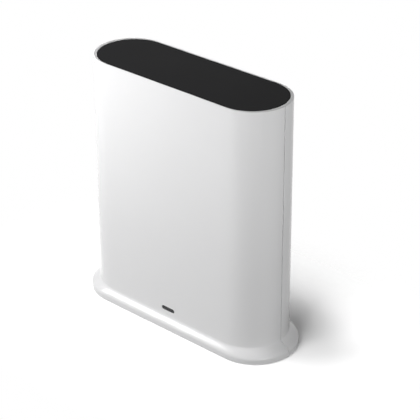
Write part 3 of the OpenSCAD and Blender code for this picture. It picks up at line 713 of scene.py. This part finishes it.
def laminate(material, tone, roughness):
    """Lacquered circuit board with tracks that run in blocks, and gilded holes."""
    tree = material.node_tree
    shader = tree.nodes["Principled BSDF"]
    place = object_place(tree)
    blocks = add_node(
        tree, "ShaderNodeTexVoronoi", {"Vector": place, "Scale": 110.0, "Randomness": 0.8},
        distance="CHEBYCHEV")
    waves = [add_node(tree, "ShaderNodeTexWave", {"Vector": place, "Scale": 300.0}, bands_direction=way)
             for way in "XZ"]
    which = maths(tree, "GREATER_THAN", blocks.outputs["Color"], 0.5)
    wave = mix(tree, "FLOAT", which, waves[0].outputs["Fac"], waves[1].outputs["Fac"])
    tracks = maths(tree, "GREATER_THAN", wave, TRACK_LEVEL)
    dots = add_node(tree, "ShaderNodeTexVoronoi", {"Vector": place, "Scale": 330.0, "Randomness": 0.9})
    holes = maths(tree, "LESS_THAN", dots.outputs["Distance"], HOLE_LEVEL)
    lacquer = mix(tree, "RGBA", tracks, toned(tone, 1), toned(tone, TRACK_TONE))
    coloured = mix(tree, "RGBA", holes, lacquer, [*settings().colours.contact_gold, 1])
    relief = add_node(tree, "ShaderNodeBump", {"Height": tracks, "Strength": 0.3, "Distance": TRACK_DEPTH})
    tree.links.new(coloured, shader.inputs["Base Color"])
    tree.links.new(holes, shader.inputs["Metallic"])
    tree.links.new(relief.outputs["Normal"], shader.inputs["Normal"])
    shader.inputs["Roughness"].default_value = roughness


def clear(material, tone, roughness, ior):
    """Clear plastic with a faint haze."""
    grained(material, tone, roughness, scale=900.0, spread=0.04, tint=0.02, bump=0.02)
    shader = material.node_tree.nodes["Principled BSDF"]
    shader.inputs["Transmission Weight"].default_value = 1.0
    shader.inputs["IOR"].default_value = ior


# Maker and values of the finish of each material slot
FINISHES = {
    "housing_white": (grained, dict(roughness=0.2, scale=3000.0, tint=0.012, bump=0.05)),
    "panel_black": (grained, dict(roughness=0.62, scale=2200.0, bump=0.25, specular=0.02)),
    "lens_smoke": (grained, dict(roughness=0.2, scale=900.0, bump=0.02, specular=0.25)),
    "guide_clear": (clear, dict(roughness=0.06, ior=1.49)),
    "foot_rubber": (grained, dict(roughness=0.78, scale=1600.0, bump=0.4, specular=0.3)),
    "port_black": (grained, dict(roughness=0.5, scale=2600.0, bump=0.25)),
    "button_white": (grained, dict(roughness=0.3, scale=3000.0, tint=0.012, bump=0.05)),
    "switch_black": (grained, dict(roughness=0.42)),
    "board_green": (laminate, dict(roughness=0.28)),
    "chip_black": (speckled, dict(roughness=0.5, tint=0.15, scale=6000.0)),
    "insulator_white": (grained, dict(roughness=0.38)),
    "screw_steel": (metal, dict(roughness=0.28, scale=4000.0)),
    "sheet_steel": (metal, dict(roughness=0.26)),
    "sink_aluminium": (metal, dict(roughness=0.34, scale=3500.0, bump=0.15)),
    "contact_gold": (metal, dict(roughness=0.2, scale=9000.0)),
    "pad_grey": (speckled, dict(roughness=0.7, tint=0.2)),
    "ferrite_grey": (speckled, dict(roughness=0.6)),
    "ceramic_tan": (speckled, dict(roughness=0.4, tint=0.15, scale=8000.0)),
    "lead_black": (grained, dict(roughness=0.4, scale=4000.0)),
    "tape_white": (speckled, dict(roughness=0.85, tint=0.08, scale=3000.0, bump=0.5)),
}


def finish_of(slot):
    """Finish of a material slot of the record, made when it is first asked for."""
    name = slot + "_finish"
    material = bpy.data.materials.get(name)
    if material is None:
        material = bpy.data.materials.new(name)
        material.use_nodes = True
        maker, values = FINISHES[slot]
        maker(material, list(getattr(settings().colours, slot)), **values)
    return material


# Housing

class Housing:
    """Outer surface of the housing at any height, and what is moulded on inside."""

    def __init__(self):
        self.sizes = settings().housing
        self.fixing = settings().fixing
        self.top = FRONT_HIGH.z
        self.bottom = FRONT_LOW.z
        self.lip_top = self.bottom + self.sizes.lip_height
        self.rim_length = FRONT_HIGH.x - self.sizes.flare_end - self.lean(self.bottom)
        self.rim_depth = -FRONT_LOW.y - self.sizes.flare_side - self.lean(self.bottom)

    def lean(self, height):
        """How far a side stands out from the rim at a height."""
        return self.sizes.draft * (1 - height / self.top)

    def flare(self, height):
        """Share of the flare at a height: one at the lip, none above the foot."""
        way = (height - self.lip_top) / (self.sizes.flare_top - self.lip_top)
        return (1 + math.cos(math.pi * min(max(way, 0), 1))) / 2

    def ring(self, height, inset=0.0):
        """Outline of the housing at a height, set in from the outer surface."""
        out = self.lean(height) - inset
        return Ring(
            self.rim_length + out + self.sizes.flare_end * self.flare(height),
            self.rim_depth + out + self.sizes.flare_side * self.flare(height),
            height)

    def inside(self, height):
        """Outline of the inner wall at a height."""
        return self.ring(height, self.sizes.wall)

    def flare_heights(self):
        """Heights of the rings up the flared foot."""
        reach = self.sizes.flare_top - self.lip_top
        return [self.lip_top + reach * i / FLARE_STEPS for i in range(FLARE_STEPS + 1)]

    def outer_rings(self):
        """Rings up the outside, from the lower edge of the lip to the outer edge of the rim."""
        lip = self.sizes.lip_round
        rim = self.sizes.rim_round
        lip_edge = [self.ring(self.bottom + lip + z, lip - out) for out, z in arc(0, 0, lip, -90, 0)]
        rim_edge = [self.ring(self.top - rim + z, rim - out) for out, z in arc(0, 0, rim, 0, 90)]
        flanks = [self.ring(z) for z in self.flare_heights()]
        flanks += [self.ring(self.sizes.flare_top + SUPPORT), self.ring(self.top - rim - SUPPORT)]
        return lip_edge + flanks + rim_edge

    def inner_rings(self):
        """Rings down the inside, from the seat of the panel to the lower edge of the lip."""
        panel = settings().panel
        seat = self.top - panel.thickness
        edge = panel.edge / 2
        end = PANEL_HIGH.x + panel.gap
        side = PANEL_HIGH.y + panel.gap
        recess = [Ring(end + edge - out, side + edge - out, self.top - edge + z)
                  for out, z in arc(0, 0, edge, 90, 0)]
        recess.append(Ring(end, side, seat))
        return recess + [self.inside(z) for z in [seat] + self.flare_heights()[::-1] + [self.bottom]]

    def half_shell(self, bm):
        """Front half of the housing, closed where the halves meet."""
        start = self.inside(self.bottom)
        loft(bm, half_outline(bm, start), [start] + self.outer_rings() + self.inner_rings())
        close(bm)

    def rear_half(self, bm):
        """Rear half of the housing."""
        self.half_shell(bm)
        bmesh.ops.scale(bm, vec=(1, -1, 1), verts=bm.verts)

    def seam(self, bm):
        """Cutting shape of the line where the halves meet, at both ends."""
        depth, width = self.sizes.seam_depth, self.sizes.seam_width
        rings = self.outer_rings()
        levels = [rings[0]._replace(height=self.bottom - OVER)] + rings
        levels.append(rings[-1]._replace(height=self.top + OVER))
        chain(bm, [(ring.length - depth, -width / 2, ring.height) for ring in levels])
        made = bmesh.ops.extrude_edge_only(bm, edges=list(bm.edges))["geom"]
        bmesh.ops.translate(bm, vec=(depth + OVER, 0, 0), verts=new_verts(made))
        made = bmesh.ops.extrude_face_region(bm, geom=list(bm.faces))["geom"]
        bmesh.ops.translate(bm, vec=(0, width, 0), verts=new_verts(made))
        mirror_copy(bm, (-1, 1, 1))

    def fixings(self, side):
        """Boss and catch of one half on the +X side, and the cutting shape of the boss's hole."""
        fixing = self.fixing
        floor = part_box("base_plate")[1].z
        x, y = foot_places()[-1]
        place = (x, side * y, 0)
        boss = shape("boss", rod, fixing.boss, floor, floor + fixing.boss_height, at=place)
        hole_top = floor + fixing.boss_hole_depth
        hole = shape("boss_hole", rod, fixing.boss_hole, floor - OVER, hole_top, at=place)
        height = PANEL_LOW.z + fixing.leg_barb + fixing.room
        depth = self.inside(height).depth
        catch = bar("catch", fixing.leg_place, fixing.leg_width,
                    (side * (depth - fixing.catch_depth), height),
                    (side * (depth + SINK), height + fixing.catch_height))
        return [boss, catch], [hole]

    def tab_face(self, height):
        """Outer face of a snap tab on the +X end."""
        fixing = self.fixing
        depth = self.inside(height + fixing.tab_height / 2).depth
        wall = self.rim_length - self.rim_depth + math.sqrt(depth ** 2 - fixing.tab_reach ** 2)
        return wall - fixing.room - fixing.barb

    def snap_tab(self, height):
        """Tab with a barb that reaches from the front half into the rear half, on the +X end."""
        fixing = self.fixing
        face = self.tab_face(height)
        low, high = height - fixing.tab_height / 2, height + fixing.tab_height / 2
        back = face - fixing.tab_thickness
        wall = self.inside(height).length + SINK
        tab = shape("tab", block, (back, -fixing.tab_root, low), (face, fixing.tab_reach, high))
        root = shape("root", block, (back, -fixing.tab_root, low), (wall, -SINK, high))
        barb = shape("barb", block, (face - SINK, fixing.tab_reach - fixing.barb_length, low),
                     (face + fixing.barb, fixing.tab_reach, high))
        return join(tab, root, barb)

    def tab_catch(self, height):
        """Ledge in the rear half that a tab's barb snaps behind, on the +X end."""
        fixing = self.fixing
        half = fixing.tab_height / 2
        depth = fixing.tab_reach - fixing.barb_length - fixing.room
        return shape(
            "ledge", block, (self.tab_face(height) + fixing.room, depth - fixing.catch_height, height - half),
            (self.inside(height).length + SINK, depth, height + half))


def foot_places():
    """Places of the four rubber feet, which the base screws share; the last is at +X and +Y."""
    low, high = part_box("rubber_feet")
    radius = settings().base.foot_radius
    return [(x, y) for x in (low.x + radius, high.x - radius) for y in (low.y + radius, high.y - radius)]


def post_places():
    """Sideways and upward places of the board's posts on the +X side."""
    low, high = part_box("board_screws")
    head = settings().fixing.board_head
    return [(high.x - head, low.z + head), (high.x - head, high.z - head)]


def row_places(count, pitch):
    """Places of a row of slots about its middle."""
    return [pitch * (i - (count - 1) / 2) for i in range(count)]


def spot(node):
    """Sideways and upward place of the middle of a CAD node."""
    low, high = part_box(node)
    middle = (low + high) / 2
    return middle.x, middle.z


class BASESTATION_OT_front_shell(bpy.types.Operator):
    """Make the front half of the housing with the slot of the status light."""

    bl_idname = "base_station.front_shell"
    bl_label = "Front shell"

    def execute(self, context):
        housing = Housing()
        light = settings().light
        x, z = spot("status_lens")
        lens_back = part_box("status_lens")[1].y
        shell = shape("front_shell_moulding", housing.half_shell)
        solids, holes = housing.fixings(-1)
        solids += [housing.snap_tab(height) for height in TAB_HEIGHTS]
        join(shell, gather("inside", solids, mirrored=True))
        slot = shape("slot", pill, light.width, light.height, FRONT_LOW.y - OVER, lens_back + OVER,
                     rear=(x, z))
        cut(shell, shape("seam", housing.seam), gather("holes", holes, mirrored=True), slot)
        face = housing.ring(z).depth
        soften(shell, light.edge, lambda p: abs(p.y + face) < light.edge and abs(p.x - x) < light.width)
        finish_piece(shell, "front_shell")
        return {"FINISHED"}


class BASESTATION_OT_rear_shell(bpy.types.Operator):
    """Make the rear half of the housing with the window of the ports and the vents."""

    bl_idname = "base_station.rear_shell"
    bl_label = "Rear shell"

    def execute(self, context):
        housing = Housing()
        fixing = settings().fixing
        vents = settings().vents
        ports = settings().ports
        inner, outer = housing.inside(vents.place).depth - OVER, -FRONT_LOW.y
        board_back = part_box("main_board")[1].y
        shell = shape("rear_shell_moulding", housing.rear_half)
        solids, holes = housing.fixings(1)
        for x, z in post_places():
            solids.append(shape(
                "post", rod, fixing.post, board_back, housing.inside(z).depth + SINK / 2, rear=(x, z)))
            holes.append(shape(
                "post_hole", rod, fixing.post_hole, board_back - OVER, board_back + fixing.post_hole_depth,
                rear=(x, z)))
        solids += [housing.tab_catch(height) for height in TAB_HEIGHTS]
        join(shell, gather("inside", solids, mirrored=True))
        slots = [shape("vent", pill, vents.reach, vents.width, inner, outer, True, rear=(x, vents.place))
                 for x in row_places(vents.count, vents.pitch)]
        rim = Vector((ports.flange - fixing.room, 0, ports.flange - fixing.room))
        past = Vector((0, 2 * OVER, 0))
        slots.append(shape("window", corner_block, PLATE_LOW + rim - past / 2, PLATE_HIGH - rim + past,
                           ports.corner + fixing.room))
        cut(shell, shape("seam", housing.seam), gather("slots", slots), gather("holes", holes, mirrored=True))
        edge = settings().housing.cut_edge
        low, high = PLATE_LOW.z, vents.place + vents.reach
        soften(shell, edge, lambda p: low < p.z < high and abs(p.x) < PLATE_HIGH.x
               and abs(p.y - housing.ring(p.z).depth) < edge / 2)
        finish_piece(shell, "rear_shell")
        return {"FINISHED"}


class BASESTATION_OT_top_panel(bpy.types.Operator):
    """Make the dark panel that lies flush in the rim, with its snap legs."""

    bl_idname = "base_station.top_panel"
    bl_label = "Top panel"

    def execute(self, context):
        panel = settings().panel
        fixing = settings().fixing
        top, bottom = PANEL_HIGH.z, PANEL_LOW.z
        seat = top - panel.thickness
        rings = [Ring(PANEL_HIGH.x, PANEL_HIGH.y, seat)]
        rings += edge_rings(PANEL_HIGH, panel.edge, top - panel.edge, 0, 90)
        plate = shape("top_panel_plate", stack, rings)
        face = Housing().inside(seat).depth - fixing.catch_depth - fixing.room
        barb_face = face + fixing.catch_depth - fixing.room
        legs = []
        for side in (-1, 1):
            foot = (side * (face - fixing.leg_thickness), bottom)
            leg = bar("leg", fixing.leg_place, fixing.leg_width, foot, (side * face, seat + SINK))
            barb = bar("barb", fixing.leg_place, fixing.leg_width, foot,
                       (side * barb_face, bottom + fixing.leg_barb))
            legs.append(join(leg, barb))
        join(plate, gather("legs", legs, mirrored=True))
        finish_piece(plate, "top_panel")
        return {"FINISHED"}


class BASESTATION_OT_status_light(bpy.types.Operator):
    """Make the smoked lens of the status light and the guide behind it."""

    bl_idname = "base_station.status_light"
    bl_label = "Status light"

    def execute(self, context):
        light = settings().light
        room = settings().fixing.room
        low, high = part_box("status_lens")
        lens = shape("status_lens_window", pill, light.width - room, light.height - room, low.y, high.y,
                     rear=spot("status_lens"))
        soften_rear(lens, light.height / LENS_SHARE, low.y)
        back = Vector((low.x, high.y - light.flange_thickness, low.z))
        join(lens, shape("flange", corner_block, back, high, light.flange))
        finish_piece(lens, "status_lens")
        soft_copies("light")
        return {"FINISHED"}


# Ports

class BASESTATION_OT_port_plate(bpy.types.Operator):
    """Make the plate with the openings of the ports."""

    bl_idname = "base_station.port_plate"
    bl_label = "Port plate"

    def execute(self, context):
        ports = settings().ports
        room = settings().fixing.room
        rim = Vector((ports.flange, 0, ports.flange))
        inner, outer = PLATE_LOW.y - OVER, PLATE_HIGH.y + OVER
        plate = shape(
            "port_plate_moulding", corner_block, PLATE_LOW + rim, PLATE_HIGH - rim, ports.corner, ports.edge)
        front = Vector((PLATE_HIGH.x, PLATE_LOW.y + ports.flange_thickness, PLATE_HIGH.z))
        join(plate, shape("flange", corner_block, PLATE_LOW, front, ports.corner + ports.flange))
        holes = []
        for node in ("ethernet_shell", "usb_shell"):
            low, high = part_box(node)
            holes.append(shape(
                "hole", corner_block, Vector((low.x - room, inner, low.z - room)),
                Vector((high.x + room, outer, high.z + room)), 2 * room))
        for node, radius in (
                ("dc_jack_pin", ports.nose + room), ("sync_button", ports.button + ports.button_gap),
                ("reset_plunger", ports.pinhole)):
            holes.append(shape("hole", rod, radius, inner, outer, rear=spot(node)))
        cut(plate, gather("holes", holes))
        soften_rear(plate, ports.mouth, PLATE_HIGH.y)
        finish_piece(plate, "port_plate")
        return {"FINISHED"}


class BASESTATION_OT_sync_button(bpy.types.Operator):
    """Make the sync button, and the plungers and switches behind the plate."""

    bl_idname = "base_station.sync_button"
    bl_label = "Sync button"

    def execute(self, context):
        ports = settings().ports
        low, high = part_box("sync_button")
        lip = (high.x - low.x) / 2
        front = PLATE_LOW.y - SLIP
        back = front - ports.button_lip
        edge = ports.button_round
        dish = ports.button - 2 * edge
        profile = [(0, low.y), (ports.button_stem, low.y), (ports.button_stem, back), (lip, back)]
        profile += [(lip, front), (ports.button, front)]
        profile += arc(ports.button - edge, high.y - edge, edge, 0, 90)
        for i in range(DISH_STEPS + 1):
            way = i / DISH_STEPS
            profile.append((dish * (1 - way), high.y - ports.button_dish * (1 - math.cos(math.pi * way)) / 2))
        finish_piece(shape("sync_button_cap", lathe, profile, rear=spot("sync_button")), "sync_button")
        soft_copies("switches")
        return {"FINISHED"}


def can(name, node, sheet):
    """Folded metal round a port, open at both ends."""
    low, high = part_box(node)
    skin = Vector((sheet, -OVER, sheet))
    corner = 2 * sheet
    obj = shape(name, corner_block, low, high, corner)
    cut(obj, shape("inside", corner_block, low + skin, high - skin, corner - sheet))
    soften_rear(obj, sheet * SHEET_EDGE, high.y)
    finish_piece(obj, node)


class BASESTATION_OT_network_port(bpy.types.Operator):
    """Make the network port: its metal, its insert and its contact wires."""

    bl_idname = "base_station.network_port"
    bl_label = "Network port"

    def execute(self, context):
        ports = settings().ports
        can("ethernet_shell_can", "ethernet_shell", ports.sheet)
        low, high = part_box("ethernet_insert")
        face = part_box("ethernet_shell")[1].y
        back = face - ports.plug_depth
        x, z = spot("ethernet_insert")
        top = z + ports.plug_rise + ports.plug_height / 2
        bottom = z + ports.plug_rise - ports.plug_height / 2
        insert = shape("ethernet_insert_moulding", corner_block, low, high, ports.sheet)
        mouth = bar("mouth", x, ports.plug_width, (back, bottom), (face + OVER, top))
        notch = bar("notch", x, ports.latch_width, (back, bottom - ports.latch_height),
                    (face + OVER, bottom + SINK))
        cut(insert, join(mouth, notch))
        slots = [bar("slot", x + wire, ports.wire_slot, (back, top - ports.wire_rise),
                     (face - MM, top + ports.wire_rise)) for wire in row_places(WIRES, ports.wire_pitch)]
        cut(insert, gather("slots", slots))
        soften_rear(insert, ports.mouth, high.y)
        finish_piece(insert, "ethernet_insert")
        soft_copies("network")
        return {"FINISHED"}


class BASESTATION_OT_storage_port(bpy.types.Operator):
    """Make the storage port: its metal, its tongue and its contacts."""

    bl_idname = "base_station.storage_port"
    bl_label = "Storage port"

    def execute(self, context):
        ports = settings().ports
        can("usb_shell_can", "usb_shell", ports.sheet)
        low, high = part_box("usb_tongue")
        top = high.z - ports.tongue_drop
        root = shape("usb_tongue_moulding", corner_block, low,
                     Vector((high.x, high.y - ports.tongue_length, high.z)), ports.sheet)
        join(root, bar("tongue", spot("usb_tongue")[0], ports.tongue_width, (low.y, top - ports.tongue),
                       (high.y, top), ports.mouth))
        finish_piece(root, "usb_tongue")
        soft_copies("storage")
        return {"FINISHED"}


class BASESTATION_OT_power_inlet(bpy.types.Operator):
    """Make the power inlet: its body, its pin and its spring."""

    bl_idname = "base_station.power_inlet"
    bl_label = "Power inlet"

    def execute(self, context):
        ports = settings().ports
        low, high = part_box("dc_jack_body")
        place = spot("dc_jack_body")
        back = Vector((high.x, high.y - ports.nose_length, high.z))
        body = shape("dc_jack_body_moulding", block, low, back, 2 * ports.mouth)
        join(body, shape("nose", rod, ports.nose, low.y + MM, high.y, rear=place))
        cut(body, shape("bore", rod, ports.bore, high.y - ports.bore_depth, high.y + OVER, rear=place))
        spring_low, spring_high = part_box("dc_jack_spring")
        room = Vector((SLIP, 0, SLIP))
        reach = Vector((0, 0, ports.sheet))
        cut(body, shape("slot", block, spring_low - room, spring_high + room + reach))
        soften_rear(body, 2 * ports.mouth, high.y)
        finish_piece(body, "dc_jack_body")
        pin_low, pin_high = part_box("dc_jack_pin")
        radius = (pin_high.x - pin_low.x) / 2
        tip = radius * PIN_TIP
        profile = [(0, pin_low.y), (radius, pin_low.y)]
        profile += arc(radius - tip, pin_high.y - tip, tip, 0, 90, TIP_STEPS)
        profile.append((0, pin_high.y))
        finish_piece(shape("dc_jack_pin_turned", lathe, profile, rear=place), "dc_jack_pin")
        soft_copies("power")
        return {"FINISHED"}


# Base and inside

def screw(bm, head, head_height, shank, reach):
    """Screw with its head at the bottom, ridges for its thread and a pointed end, in an empty mesh."""
    edge = head_height * HEAD_EDGE
    profile = [(0, 0), (head - edge, 0)] + arc(head - edge, edge, edge, -90, 0)
    profile += [(head, head_height), (shank, head_height)]
    turns = int((reach - head_height - THREAD_PITCH) / THREAD_PITCH)
    for i in range(turns):
        height = head_height + THREAD_PITCH * (i + 0.5)
        profile += [(shank - THREAD_DEPTH, height), (shank, height + THREAD_PITCH / 2)]
    profile += [(shank / 2, reach), (0, reach)]
    lathe(bm, profile)


def screw_set(name, node, head, head_height, shank, reach, places, rear):
    """All the screws of one kind, with their crosses."""
    long, short = head * CROSS_REACH, head * CROSS_WIDTH
    screws = []
    for place in places:
        one = shape("screw", screw, head, head_height, shank, reach)
        cut(one, *[shape("arm", block, (-a, -b, -OVER), (a, b, head_height * CROSS_DEPTH))
                   for a, b in ((long, short), (short, long))])
        if rear:
            one.data.transform(Matrix.Rotation(-QUARTER, 4, "X"))
        one.data.transform(Matrix.Translation(place))
        screws.append(one)
    finish_piece(gather(name, screws), node)


class BASESTATION_OT_base(bpy.types.Operator):
    """Make the plate under the foot, its screws and the rubber feet."""

    bl_idname = "base_station.base"
    bl_label = "Base"

    def execute(self, context):
        base = settings().base
        fixing = settings().fixing
        vents = settings().vents
        low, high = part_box("base_plate")
        screw_low, screw_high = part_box("base_screws")
        foot_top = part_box("rubber_feet")[1].z
        bottom, top = low.z, low.z + base.thickness
        head_top = high.z - base.cup_wall
        places = [Vector((x, y, 0)) for x, y in foot_places()]
        rings = edge_rings(high, base.edge, bottom + base.edge, -90, 0) + [Ring(high.x, high.y, top)]
        plate = shape("base_plate_moulding", stack, rings)
        join(plate, gather("cups", [shape("cup", rod, base.cup, bottom + MM, high.z, at=p) for p in places]))
        for name, radius, start, end in (
                ("seat", base.foot_radius + fixing.room, bottom - OVER, foot_top),
                ("head", fixing.base_head + fixing.room, bottom, head_top),
                ("screw_hole", base.screw_hole, bottom, high.z + OVER)):
            cut(plate, gather(name, [shape(name, rod, radius, start, end, at=p) for p in places]))
        slots = [shape("vent", pill, vents.reach, vents.width, bottom - OVER, top + OVER, True, at=(x, 0, 0))
                 for x in row_places(vents.count, vents.pitch)]
        cut(plate, gather("vents", slots))
        soften(plate, settings().housing.cut_edge, lambda p: abs(p.z - bottom) < IN_PLANE)
        finish_piece(plate, "base_plate")
        radius, edge = base.foot_radius, base.foot_edge
        dish = radius - 4 * edge
        profile = [(0, base.foot_dish), (dish - base.foot_dish, base.foot_dish), (dish, 0)]
        profile += arc(radius - edge, edge, edge, -90, 0) + [(radius, foot_top), (0, foot_top)]
        finish_piece(gather("rubber_feet_pads", [shape("foot", lathe, profile, at=p) for p in places]),
                     "rubber_feet")
        screw_set("base_screws_turned", "base_screws", fixing.base_head, head_top - screw_low.z,
                  fixing.boss_hole - SLIP, screw_high.z - screw_low.z,
                  [p + Vector((0, 0, screw_low.z)) for p in places], rear=False)
        return {"FINISHED"}


class BASESTATION_OT_board(bpy.types.Operator):
    """Finish the circuit board and its screws."""

    bl_idname = "base_station.board"
    bl_label = "Board"

    def execute(self, context):
        soft_copies("board")
        fixing = settings().fixing
        low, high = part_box("board_screws")
        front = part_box("main_board")[0].y
        places = [Vector((side * x, low.y, z)) for side in (-1, 1) for x, z in post_places()]
        screw_set("board_screws_turned", "board_screws", fixing.board_head, front - low.y,
                  fixing.post_hole - SLIP, high.y - low.y, places, rear=True)
        return {"FINISHED"}


class BASESTATION_OT_chips(bpy.types.Operator):
    """Finish the chips and the power pieces on the board."""

    bl_idname = "base_station.chips"
    bl_label = "Chips"

    def execute(self, context):
        soft_copies("chips")
        return {"FINISHED"}


class BASESTATION_OT_cooling(bpy.types.Operator):
    """Finish the heat sink, its pad and its pins."""

    bl_idname = "base_station.cooling"
    bl_label = "Cooling"

    def execute(self, context):
        soft_copies("cooling")
        return {"FINISHED"}


class BASESTATION_OT_radios(bpy.types.Operator):
    """Finish the screening cans, the antennas and their leads."""

    bl_idname = "base_station.radios"
    bl_label = "Radios"

    def execute(self, context):
        soft_copies("radios")
        for node in ("antenna_cable_left", "antenna_cable_right"):
            dress(node)
        return {"FINISHED"}


# Stage

def straight_rays(tree):
    """Mask of the rays that show the background: straight from the camera, mirrored or let through."""
    path = tree.nodes.new("ShaderNodeLightPath")
    mask = path.outputs["Is Camera Ray"]
    for name in ("Is Glossy Ray", "Is Transmission Ray"):
        mask = maths(tree, "MAXIMUM", mask, path.outputs[name])
    return mask


def floor_white():
    """Pale floor that keeps the object's shadow, fades away round it and can't be seen from below."""
    stage = settings().stage
    material = bpy.data.materials.new("floor_white")
    material.use_nodes = True
    tree = material.node_tree
    tree.nodes.clear()
    place = object_place(tree)
    straight = (FRONT_HIGH.x + FRONT_LOW.y, 0, 0)
    for operation, *other in (("ABSOLUTE",), ("SUBTRACT", straight), ("MAXIMUM", (0, 0, 0))):
        inputs = dict(enumerate([place, *other]))
        place = add_node(tree, "ShaderNodeVectorMath", inputs, operation=operation).outputs[0]
    away = add_node(tree, "ShaderNodeVectorMath", {0: place}, operation="LENGTH").outputs["Value"]
    fade = add_node(
        tree, "ShaderNodeMapRange", {"Value": away, "From Min": stage.fade_start, "From Max": stage.fade_end},
        interpolation_type="SMOOTHSTEP").outputs[0]
    below = tree.nodes.new("ShaderNodeNewGeometry").outputs["Backfacing"]
    seen = add_node(tree, "ShaderNodeBsdfDiffuse", {"Color": [*stage.floor_white, 1]}).outputs[0]
    unseen = tree.nodes.new("ShaderNodeBsdfTransparent").outputs[0]
    mixed = add_node(
        tree, "ShaderNodeMixShader", {0: maths(tree, "MAXIMUM", below, fade), 1: seen, 2: unseen}).outputs[0]
    add_node(tree, "ShaderNodeOutputMaterial", {"Surface": mixed})
    return material


def white_world(ambient):
    """World that looks white, and lights the object from all round at its own strength."""
    world = bpy.data.worlds.new("studio")
    world.use_nodes = True
    tree = world.node_tree
    tree.nodes.clear()
    lit, seen = [
        add_node(tree, "ShaderNodeBackground", {"Color": (1, 1, 1, 1), "Strength": strength}).outputs[0]
        for strength in (ambient, 1.0)]
    pick = add_node(tree, "ShaderNodeMixShader", {0: straight_rays(tree), 1: lit, 2: seen})
    add_node(tree, "ShaderNodeOutputWorld", {"Surface": pick.outputs[0]})
    bpy.context.scene.world = world


def toward(turn, rise):
    """Direction from the object to a place round it and above it."""
    return Vector((math.sin(turn) * math.cos(rise), -math.cos(turn) * math.cos(rise), math.sin(rise)))


def softbox(name, azimuth, elevation, distance, size, watts):
    """Square soft lamp round the object, aimed at its middle."""
    lamp = bpy.data.lights.new(name, "AREA")
    lamp.shape = "SQUARE"
    lamp.size = size
    lamp.energy = watts
    obj = bpy.data.objects.new(name, lamp)
    way = toward(math.radians(azimuth), math.radians(elevation))
    obj.location = Vector((0, 0, FRONT_HIGH.z / 2)) + way * distance
    obj.rotation_euler = way.to_track_quat("Z", "Y").to_euler()
    obj.visible_camera = False
    bpy.context.scene.collection.objects.link(obj)
    return obj


def light_floor(lamp, floor, only):
    """Let a lamp light the floor alone, or everything but the floor."""
    receivers = bpy.data.collections.new(lamp.name + "_receivers")
    receivers.objects.link(floor)
    receivers.collection_objects[0].light_linking.link_state = "INCLUDE" if only else "EXCLUDE"
    lamp.light_linking.receiver_collection = receivers


class BASESTATION_OT_stage(bpy.types.Operator):
    """Set up the floor, the light and the camera."""

    bl_idname = "base_station.stage"
    bl_label = "Stage"

    def execute(self, context):
        stage = settings().stage
        scene = context.scene
        scene.view_settings.view_transform = "Standard"
        bm = bmesh.new()
        bmesh.ops.create_grid(bm, x_segments=1, y_segments=1, size=stage.floor_size / 2)
        floor = object_of("floor", bm)
        floor.data.materials.append(floor_white())
        floor.visible_diffuse = False
        floor.visible_shadow = False
        white_world(stage.ambient)
        for lamps, only in ((LAMPS, False), (FLOOR_LAMPS, True)):
            for lamp in lamps:
                light_floor(softbox(*lamp), floor, only)
        back = toward(stage.azimuth, stage.elevation)
        right = Vector((math.cos(stage.azimuth), math.sin(stage.azimuth), 0))
        up = back.cross(right)
        data = bpy.data.cameras.new("camera")
        data.lens = stage.lens
        camera = bpy.data.objects.new("camera", data)
        middle = Vector((0, 0, (FRONT_LOW.z + FRONT_HIGH.z) / 2))
        camera.location = middle + back * stage.distance + right * stage.aside + up * stage.above
        camera.rotation_euler = back.to_track_quat("Z", "Y").to_euler()
        scene.collection.objects.link(camera)
        scene.camera = camera
        return {"FINISHED"}


class BASESTATION_PT_sidebar(bpy.types.Panel):
    """Sidebar panel that lists the pieces and their settings."""

    bl_idname = "BASESTATION_PT_sidebar"
    bl_label = "Base station"
    bl_space_type = "VIEW_3D"
    bl_region_type = "UI"
    bl_category = "Base station"

    def draw(self, context):
        layout = self.layout
        for operator in OPERATORS:
            layout.operator(operator.bl_idname)
        for group in BaseStation.__annotations__:
            box = layout.box()
            box.label(text=group.title())
            sizes = getattr(settings(), group)
            for name in sizes.__annotations__:
                box.prop(sizes, name)


GROUPS = (
    HousingSizes, FixingSizes, VentSizes, PanelSizes, LightSizes, PortSizes, BaseSizes, Colours, StageSizes,
    BaseStation,
)
OPERATORS = (
    BASESTATION_OT_stage,
    BASESTATION_OT_front_shell,
    BASESTATION_OT_rear_shell,
    BASESTATION_OT_top_panel,
    BASESTATION_OT_status_light,
    BASESTATION_OT_port_plate,
    BASESTATION_OT_sync_button,
    BASESTATION_OT_network_port,
    BASESTATION_OT_storage_port,
    BASESTATION_OT_power_inlet,
    BASESTATION_OT_base,
    BASESTATION_OT_board,
    BASESTATION_OT_chips,
    BASESTATION_OT_cooling,
    BASESTATION_OT_radios,
)
CLASSES = GROUPS + OPERATORS + (BASESTATION_PT_sidebar,)


def register():
    """Register the classes and hang the settings on the scene."""
    for cls in CLASSES:
        bpy.utils.register_class(cls)
    bpy.types.Scene.base_station = PointerProperty(type=BaseStation)


def unregister():
    """Take the settings and the classes away again."""
    del bpy.types.Scene.base_station
    for cls in reversed(CLASSES):
        bpy.utils.unregister_class(cls)


def main():
    register()
    for operator in OPERATORS:
        name = operator.bl_idname.split(".")[1]
        getattr(bpy.ops.base_station, name)()


if __name__ == "__main__":
    main()
